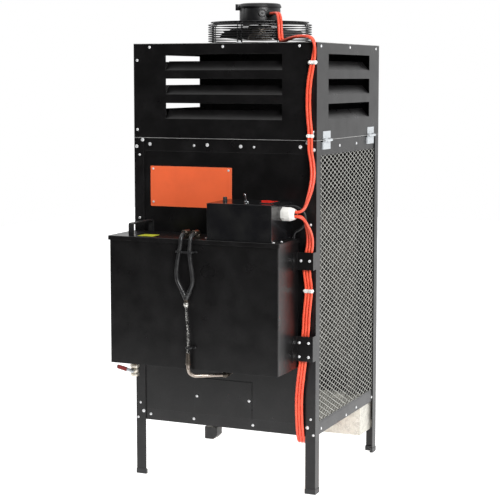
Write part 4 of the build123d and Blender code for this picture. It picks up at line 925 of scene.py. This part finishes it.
def head_places(node):
    """The foot, the outward direction and the radius of every screw head in a CAD node."""
    mesh = bmesh.new()
    mesh.from_mesh(frame["nodes"][node].data)
    bmesh.ops.remove_doubles(mesh, verts=mesh.verts, dist=1e-6)
    middle = at(0, MIDDLE_Y, 0)
    left = set(mesh.verts)
    places = []
    while left:
        wave = [left.pop()]
        island = []
        while wave:
            point = wave.pop()
            island.append(point.co.copy())
            for edge in point.link_edges:
                other = edge.other_vert(point)
                if other in left:
                    left.remove(other)
                    wave.append(other)
        low = Vector([min(co[axis] for co in island) for axis in range(3)])
        high = Vector([max(co[axis] for co in island) for axis in range(3)])
        size = high - low
        thin = min(range(3), key=lambda axis: size[axis])
        centre = (low + high) / 2
        outward = Vector((0, 0, 0))
        outward[thin] = 1 if thin == 2 or centre[thin] > middle[thin] else -1
        places.append((centre - outward * size[thin] / 2, outward, max(size) / 2))
    mesh.free()
    return sorted(places, key=lambda place: tuple(place[0]))


class HEATER_OT_screws(Operator):
    """Cross-recessed screw heads in the places of the CAD ones"""

    bl_idname = "heater.screws"
    bl_label = "Screw Heads"

    def execute(self, context):
        head = turned("screw_head", [
            (0, 0), (4, 0), (4, 0.5), (3.75, 1.15), (3.1, 1.65), (2, 1.92), (0, 2)], 16)
        for turn in (0, pi / 2):
            recess = bar("recess", (-2, 2), (-0.42, 0.42), (1.1, 3))
            recess.data.transform(Matrix.Rotation(turn, 4, "Z"))
            cut(head, recess)
        for node, body in (("lower_screws", "frame"), ("upper_screws", "upper_cabinet")):
            heads = []
            for number, (foot, outward, radius) in enumerate(head_places(node)):
                copy = twin(head)
                scale = radius / (4 * MM)
                copy.data.transform(Matrix.Diagonal((scale, scale, 1, 1)))
                heads.append(stand(copy, foot, outward, number * 0.7))
            finish(join(node + "_heads", heads), body, "zinc", node, look="screw_zinc", angle=30)
        bpy.data.objects.remove(head)
        return {"FINISHED"}


class HEATER_OT_gland(Operator):
    """White cable gland with its hexagon, ribbed nut and seal"""

    bl_idname = "heater.gland"
    bl_label = "Cable Gland"

    def execute(self, context):
        flange = hexagon("gland_flange", 33, 8)
        nut = turned("gland_nut", [
            (0, 8), (17.2, 8), (18.6, 9), (18.6, 24), (17.6, 27), (16, 32), (13.8, 37),
            (12.6, 38.6), (11.4, 38.6), (11, 34), (0, 34)], 48)
        notch(nut, 10, 25, 48, 0.35, 0.7)
        body = join("cable_gland_body", [flange, nut])
        stand(body, at(*GLAND), (1, 0, 0), pi / 6)
        finish(body, "frame", "white_plastic", "cable_gland", angle=40)
        seal = turned("seal", [(0, 33), (11.3, 33), (11.3, 37), (10.4, 38), (0, 38)], 32)
        stand(seal, at(*GLAND), (1, 0, 0))
        finish(call(seal, "cable_gland_seal"), "frame", "black_rubber")
        return {"FINISHED"}


class HEATER_OT_controls(Operator):
    """Knob, toggle nut and rocker bezel on the control box"""

    bl_idname = "heater.controls"
    bl_label = "Controls"

    def execute(self, context):
        knob = turned("knob", [
            (0, 0.5), (7, 0.5), (7, 2.2), (6.1, 3.2), (5.6, 10.4), (5.2, 11.4), (4.6, 11.9),
            (0, 12)], 36)
        notch(knob, 5, 9, 36, 0.12, 0.35)
        stand(knob, at(*KNOB, BOX_TOP))
        finish(call(knob, "selector_grip"), "selector", "switch_black", "selector_knob")
        x, y = KNOB
        mark = block("selector_mark", (x - 0.5, x + 0.5), (y - 5.2, y - 1),
                     (BOX_TOP + 11.7, BOX_TOP + 12))
        finish(soften(mark, 0.1, 1), "selector", "white_plastic")
        collar = turned("collar", [
            (5, 0), (5.6, 0), (5.6, 2), (5.3, 2.3), (5.3, 2.6), (5.6, 2.9), (5.3, 3.2),
            (4.3, 3.2), (4.3, 0.2), (5, 0)], 24)
        nut = hexagon("nut", 13.6, 1.8)
        toggle = join("toggle_nut", [stand(piece, at(*TOGGLE, BOX_TOP)) for piece in (nut, collar)])
        finish(toggle, "frame", "chrome")
        bezel = block("rocker_bezel", *BEZEL, (BOX_TOP, BOX_TOP + 2.4))
        hollow_ends(bezel, 4)
        finish(soften(bezel, 0.7, 3), "frame", "switch_black")
        return {"FINISHED"}


class HEATER_OT_tank_details(Operator):
    """Blank strip of the lid's cover, the lid's screws and grey strips that paint a highlight along
    the cabinet's seam and top edge
    """

    bl_idname = "heater.tank_details"
    bl_label = "Tank Details"

    def execute(self, context):
        strip = block("blank_lid_strip", (-203, -155), (-132, -84), (LID_TOP, LID_TOP + 0.25))
        round_along(strip, 2, 3, 4)
        finish(strip, "cover", "panel_paint", look="lid_strip")
        heads = []
        for number, (x, y) in enumerate(LID_SCREWS):
            head = turned("lid_screw", [(0, 0), (3.6, 0), (3.6, 0.7), (2.9, 1.7), (0, 2.1)], 12)
            edit(head)
            pick_faces(lambda middle, normal: normal.z > 0.9 and middle.z > 1.6 * MM)
            bpy.ops.mesh.inset(thickness=0.3 * MM)
            heads.append(stand(head, at(x, y, LID_TOP), turn=number))
        finish(join("lid_screw_heads", heads), "frame", "zinc", look="screw_zinc")
        # Grey strips along the seam and the top edge are a painted highlight where these edges catch
        # the light
        reach = HALF_WIDTH + 0.5
        for name, low, high in (("seam_edge", SEAM + 0.3, SEAM + 1.7),
                                ("top_edge", CABINET_TOP - 1, CABINET_TOP + 0.3)):
            edge = block(name, (-reach, reach), (-0.5, DEPTH + 0.5), (low, high))
            hollow_ends(edge, 1.2)
            soften(edge, 0.3, 1)
            finish(edge, "upper_cabinet", "panel_paint", look="bare_edge")
        return {"FINISHED"}


class HEATER_OT_drain(Operator):
    """Nuts of the drain valve and its lever with a red sleeve"""

    bl_idname = "heater.drain"
    bl_label = "Drain Valve"

    def execute(self, context):
        x, y, z = VALVE
        nuts = []
        for across, height, rise in ((22, 9, 22), (23, 8, 8), (21, 8, -17)):
            nuts.append(stand(hexagon("drain_nut", across, height), at(x, y, z + rise)))
        thread = turned("thread", [
            (0, 0), (8.2, 0), (8.2, 0.6), (7.6, 1.1), (8.2, 1.6), (7.6, 2.2), (8.2, 2.8),
            (7.6, 3.4), (8.2, 4), (8.2, 5), (0, 5)], 24)
        nuts.append(stand(thread, at(x, y, z + 30)))
        finish(join("drain_nuts", nuts), "frame", "brass")
        far, near = -18.6, -15.2
        arm = bar("arm", (-50, 6), (far, near), (-4.6, 4.6))
        round_along(arm, 1, 4, 4, lambda place: place.x < -40 * MM)
        round_along(arm, 1, 4, 4, lambda place: place.x > 0)
        soften(arm, 0.4)
        screw = stand(hexagon("lever_nut", 9, 3), (0, far * MM, 0), (0, -1, 0))
        sleeve = bar("sleeve", (-47, -16), (far - 1.4, near + 1.4), (-5.8, 5.8))
        soften(sleeve, 1.8, 4)
        edit(sleeve)
        pick_faces(lambda middle, normal: normal.y < -0.9)
        step_in(1.2, (0, 0.5, 0))
        rest()
        for piece in (arm, screw, sleeve):
            piece.data.transform(Matrix.Rotation(radians(LEVER_SLOPE), 4, "Y"))
            piece.data.transform(Matrix.Translation(at(x, y, z)))
        finish(join("lever_arm", [arm, screw]), "valve_lever", "zinc", "drain_lever")
        finish(call(sleeve, "lever_sleeve"), "valve_lever", "red_plastic")
        return {"FINISHED"}


def ring(name, radius, z, wire):
    """One round wire about the fan's axis."""
    rest()
    bpy.ops.curve.primitive_bezier_circle_add(radius=radius * MM, location=at(0, MIDDLE_Y, z))
    piece = bpy.context.active_object
    piece.data.bevel_depth = wire / 2
    piece.data.bevel_resolution = 1
    piece.data.resolution_u = 16
    bpy.ops.object.convert(target="MESH")
    return settle(call(bpy.context.active_object, name))


class HEATER_OT_fan_guard(Operator):
    """Wire basket over the fan: rings, doubled ribs and feet"""

    bl_idname = "heater.fan_guard"
    bl_label = "Fan Guard"

    def execute(self, context):
        wire = context.scene.heater_sizes.guard_wire
        half = wire / 2 / MM
        outer = GUARD_RADIUS - half
        rings, side_step, top_start = 9, 6.6, 68
        parts = []
        for index in range(rings):
            parts.append(ring("side_ring", outer, FLANGE_TOP + half + 0.4 + index * side_step, wire))
        top_step = (outer - 8 - top_start) / (rings - 1)
        for index in range(rings):
            parts.append(ring("top_ring", top_start + index * top_step, GUARD_TOP - half - 0.2, wire))
        inner = outer - 2 * half
        under = GUARD_TOP - 3 * half
        rib_points = [(58, under), (100, under), (inner - 14, under), (inner - 2, under - 1),
                      (inner, GUARD_TOP - 16), (inner, FLANGE_TOP + 30), (inner, FLANGE_TOP + 1)]
        ribs = 8
        for index in range(ribs):
            offsets = (-6, 6) if index % 2 == 0 else (0,)
            for offset in offsets:
                rib = run("rib", [Vector((r, offset, z)) * MM for r, z in rib_points], wire, 6, 1)
                parts.append(about_fan(rib, tau / ribs * index))
        basket = join("guard_wires", parts)
        finish(basket, "upper_cabinet", "fan_paint", "fan_guard", angle=60)
        low = GUARD_TOP - 2.6
        mount = turned("guard_mount", [
            (8.5, low), (70, low), (71, low + 0.6), (71, GUARD_TOP - 0.6), (70, GUARD_TOP),
            (8.5, GUARD_TOP), (8.5, low)], 48)
        stand(mount, at(0, MIDDLE_Y, 0))
        finish(mount, "upper_cabinet", "fan_paint")
        feet = []
        count, thick, circle = 4, 2, 151.6
        for index in range(count):
            foot = bar("foot", (134, 157), (-9, 9), (FLANGE_TOP, FLANGE_TOP + thick))
            round_along(foot, 2, 5, 4, lambda place: place.x > 0.15)
            soften(foot, 0.3, 1)
            head = stand(hexagon("foot_screw", 7, 2.4), Vector((circle, 0, FLANGE_TOP + thick)) * MM)
            feet += [about_fan(piece, tau / count * index) for piece in (foot, head)]
        finish(join("guard_feet", feet), "upper_cabinet", "zinc")
        return {"FINISHED"}


class HEATER_OT_fan_motor(Operator):
    """Fan motor with its lip, domed cap, terminal bosses, clip and cable gland"""

    bl_idname = "heater.fan_motor"
    bl_label = "Fan Motor"

    def execute(self, context):
        motor = turned("motor", [
            (0, 1316.2), (52, 1316.2), (58.5, 1317.5), (60, 1320), (60, 1352), (59.2, 1353.4),
            (59.2, 1356), (62.3, 1357), (62.5, 1358.4), (62.5, 1361.4), (61.8, 1362.4),
            (61, 1363.6), (60.4, 1366), (57.5, 1368.6), (52, 1369.6), (30, 1370), (24, 1369.4),
            (0, 1369.2)], 96)
        stand(motor, at(0, MIDDLE_Y, 0))
        parts = [motor]
        for angle in (-60, -38.4):
            boss = turned("boss", [
                (0, 0), (11.5, 0), (11.5, 4.4), (10.7, 5.2), (8.8, 5.2), (8.2, 4.4), (8.2, 2.2),
                (3.4, 2), (3.2, 3.4), (0, 3.6)], 28)
            place = at(0, MIDDLE_Y, 1340) + way(angle) * (MOTOR_RADIUS - 2.4) * MM
            parts.append(stand(boss, place, way(angle)))
        rib = bar("rib", (-0.8, 0.8), (-1.2, 1.2), (1318, 1357))
        soften(rib, 0.4)
        rib.data.transform(Matrix.Translation(at(0, MIDDLE_Y, 0) + way(-118) * MOTOR_RADIUS * MM))
        parts.append(rib)
        clip = bar("clip", (57, 72), (-7, 7), (1350, 1368))
        edit(clip)
        pick_faces(lambda middle, normal: normal.x > 0.9 or normal.z > 0.9)
        bpy.ops.mesh.inset(thickness=2.2 * MM, use_individual=True)
        bpy.ops.transform.shrink_fatten(value=-2.4 * MM)
        soften(clip, 0.5)
        parts.append(about_fan(clip, radians(203.75)))
        for angle in (20, 110, 200, 290):
            place = at(0, MIDDLE_Y, 1368) + way(angle) * 45 * MM
            parts.append(stand(hexagon("cap_screw", 5.5, 1.2), place))
        body = join("fan_motor_body", parts)
        finish(body, "upper_cabinet", "fan_paint", "fan_motor", angle=30)
        gland = join("motor_gland", [
            hexagon("gland_hexagon", 19, 6),
            turned("gland_dome", [
                (0, 6), (8.6, 6), (8.8, 7), (8.8, 14), (8, 17.4), (6.8, 19.4), (0, 19.4)], 24)])
        place = at(0, MIDDLE_Y, MOTOR_GLAND_Z) + MOTOR_GLAND_WAY * (MOTOR_RADIUS + 0.4) * MM
        stand(gland, place, MOTOR_GLAND_WAY)
        finish(gland, "upper_cabinet", "black_plastic")
        return {"FINISHED"}


class HEATER_OT_fan_rotor(Operator):
    """Fan rotor with a ribbed hub and five twisted blades"""

    bl_idname = "heater.fan_rotor"
    bl_label = "Fan Rotor"

    def execute(self, context):
        hub = turned("fan_hub", [
            (0, 1262.3), (33.5, 1262.3), (35.6, 1264), (36, 1266), (36, 1285), (35.2, 1286),
            (35.2, 1288), (36, 1289), (36, 1298), (34, 1303), (30, 1305.4), (16, 1305.8),
            (14, 1304.6), (5.4, 1304.6), (5, 1306), (5, 1335), (0, 1335)], 64)
        stand(hub, at(0, MIDDLE_Y, 0))
        rest()
        bpy.ops.mesh.primitive_grid_add(x_subdivisions=14, y_subdivisions=8, size=1,
                                        location=(79 * MM, 0, 0))
        bpy.context.active_object.scale = (91 * MM, 70 * MM, 1)
        blade = settle(call(bpy.context.active_object, "blade"))
        edit(blade, "VERT")
        pick_points(lambda place: place.x > 118 * MM and abs(place.y) > 26 * MM)
        bpy.ops.transform.translate(value=(-7 * MM, 0, 0))
        pick_points(lambda place: place.x < 42 * MM)
        bpy.ops.transform.resize(value=(1, 0.6, 1), center_override=(36 * MM, 0, 0))
        apply(blade, "SOLIDIFY", thickness=1.8 * MM, offset=0)
        soften(blade, 0.5, 2, 60)
        apply(blade, "SIMPLE_DEFORM", deform_method="TWIST", deform_axis="X",
              angle=radians(-12))
        pitch, first_turn = radians(32), 0.31
        blade.data.transform(Matrix.Translation((0, 0, BLADE_HEIGHT * MM))
                             @ Matrix.Rotation(pitch, 4, "X"))
        blades = []
        for index in range(BLADES):
            blades.append(about_fan(twin(blade), tau / BLADES * index + first_turn))
        bpy.data.objects.remove(blade)
        finish(join("fan_blades", blades), "fan_rotor", "fan_paint", "fan_rotor", angle=30)
        finish(hub, "fan_rotor", "machined_steel", look="cast_aluminium")
        return {"FINISHED"}


class HEATER_OT_studio(Operator):
    """Pale floor, soft lights and the camera"""

    bl_idname = "heater.studio"
    bl_label = "Studio"

    def execute(self, context):
        scene = context.scene
        rest()
        bpy.ops.mesh.primitive_grid_add(x_subdivisions=4, y_subdivisions=4, size=9,
                                        location=(0, 2.9, -0.0002))
        floor = settle(call(bpy.context.active_object, "studio_floor"))
        pale = tuple(scene.heater_colours.floor)
        surface = Surface(pale, roughness=0.8)
        surface.material.name = "studio_floor"
        surface.patches(900, tuple(channel * 0.985 for channel in pale))
        surface.set(Emission_Color=(1, 1, 1, 1), Emission_Strength=0.66)
        floor.data.materials.append(surface.material)
        bpy.ops.object.light_add(type="SUN", location=(0, 0, 4),
                                 rotation=(radians(8), radians(-10), 0))
        sky = bpy.context.active_object
        sky.name = "sky_light"
        sky.data.energy = 1.3
        sky.data.angle = radians(70)
        for name, place, power, size in (
            ("key_light", (2.6, -2.5, 2.6), 150, 1.6),
            ("left_light", (-2.6, -0.4, 2.4), 14, 1.5),
        ):
            bpy.ops.object.light_add(type="AREA", location=place)
            lamp = bpy.context.active_object
            lamp.name = name
            lamp.data.energy = power
            lamp.data.size = size
            aim = Vector((0, 0, 0.7)) - Vector(place)
            lamp.rotation_euler = aim.to_track_quat("-Z", "Y").to_euler()
        self.surroundings(scene)
        bpy.ops.object.camera_add(location=at(*CAMERA_PLACE))
        camera = bpy.context.active_object
        camera.name = "photo_camera"
        camera.rotation_euler = (radians(90 - CAMERA_DOWN), 0, radians(CAMERA_TURN))
        camera.data.sensor_width = 36
        camera.data.lens = CAMERA_LENS
        camera.data.shift_y = CAMERA_SHIFT
        scene.camera = camera
        scene.view_settings.view_transform = "Standard"
        rest()
        return {"FINISHED"}

    def surroundings(self, scene):
        """A room that is white behind the heater and dim in front, and white to the camera."""
        world = bpy.data.worlds.new("studio_room")
        world.use_nodes = True
        scene.world = world
        tree = world.node_tree
        out = tree.nodes["World Output"]
        room = tree.nodes["Background"]
        outward = add_node(tree, "ShaderNodeTexCoord")
        split = add_node(tree, "ShaderNodeSeparateXYZ")
        tree.links.new(outward.outputs["Generated"], split.inputs["Vector"])
        level = add_node(tree, "ShaderNodeMapRange", {
            "From Min": -0.25, "From Max": 0.7, "To Min": 0.015, "To Max": 0.97},
            interpolation_type="SMOOTHSTEP")
        tree.links.new(split.outputs["Y"], level.inputs["Value"])
        tree.links.new(level.outputs["Result"], room.inputs["Color"])
        seen = add_node(tree, "ShaderNodeBackground", {"Color": (1, 1, 1, 1)})
        path = add_node(tree, "ShaderNodeLightPath")
        mix = add_node(tree, "ShaderNodeMixShader")
        tree.links.new(path.outputs["Is Camera Ray"], mix.inputs["Fac"])
        tree.links.new(room.outputs["Background"], mix.inputs[1])
        tree.links.new(seen.outputs["Background"], mix.inputs[2])
        tree.links.new(mix.outputs["Shader"], out.inputs["Surface"])


PIECES = (
    HEATER_OT_finishes, HEATER_OT_studio, HEATER_OT_cables, HEATER_OT_ties, HEATER_OT_side_nets,
    HEATER_OT_hoses, HEATER_OT_hose_fittings, HEATER_OT_screws, HEATER_OT_gland,
    HEATER_OT_controls, HEATER_OT_tank_details, HEATER_OT_drain, HEATER_OT_fan_guard,
    HEATER_OT_fan_motor, HEATER_OT_fan_rotor,
)


class HEATER_PT_pieces(Panel):
    """The heater's colours, sizes and pieces"""

    bl_idname = "HEATER_PT_pieces"
    bl_label = "Waste Oil Heater"
    bl_space_type = "VIEW_3D"
    bl_region_type = "UI"
    bl_category = "Heater"

    def draw(self, context):
        for settings in (context.scene.heater_colours, context.scene.heater_sizes):
            column = self.layout.column()
            for name in settings.__annotations__:
                column.prop(settings, name)
        column = self.layout.column()
        for piece in PIECES:
            column.operator(piece.bl_idname)


CLASSES = (HeaterColours, HeaterSizes, *PIECES, HEATER_PT_pieces)


def register():
    for each in CLASSES:
        bpy.utils.register_class(each)
    bpy.types.Scene.heater_colours = PointerProperty(type=HeaterColours)
    bpy.types.Scene.heater_sizes = PointerProperty(type=HeaterSizes)


def unregister():
    del bpy.types.Scene.heater_sizes
    del bpy.types.Scene.heater_colours
    for each in reversed(CLASSES):
        bpy.utils.unregister_class(each)


def main():
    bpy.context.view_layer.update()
    register()
    for piece in PIECES:
        getattr(bpy.ops.heater, piece.bl_idname.split(".")[1])()


if __name__ == "__main__":
    main()
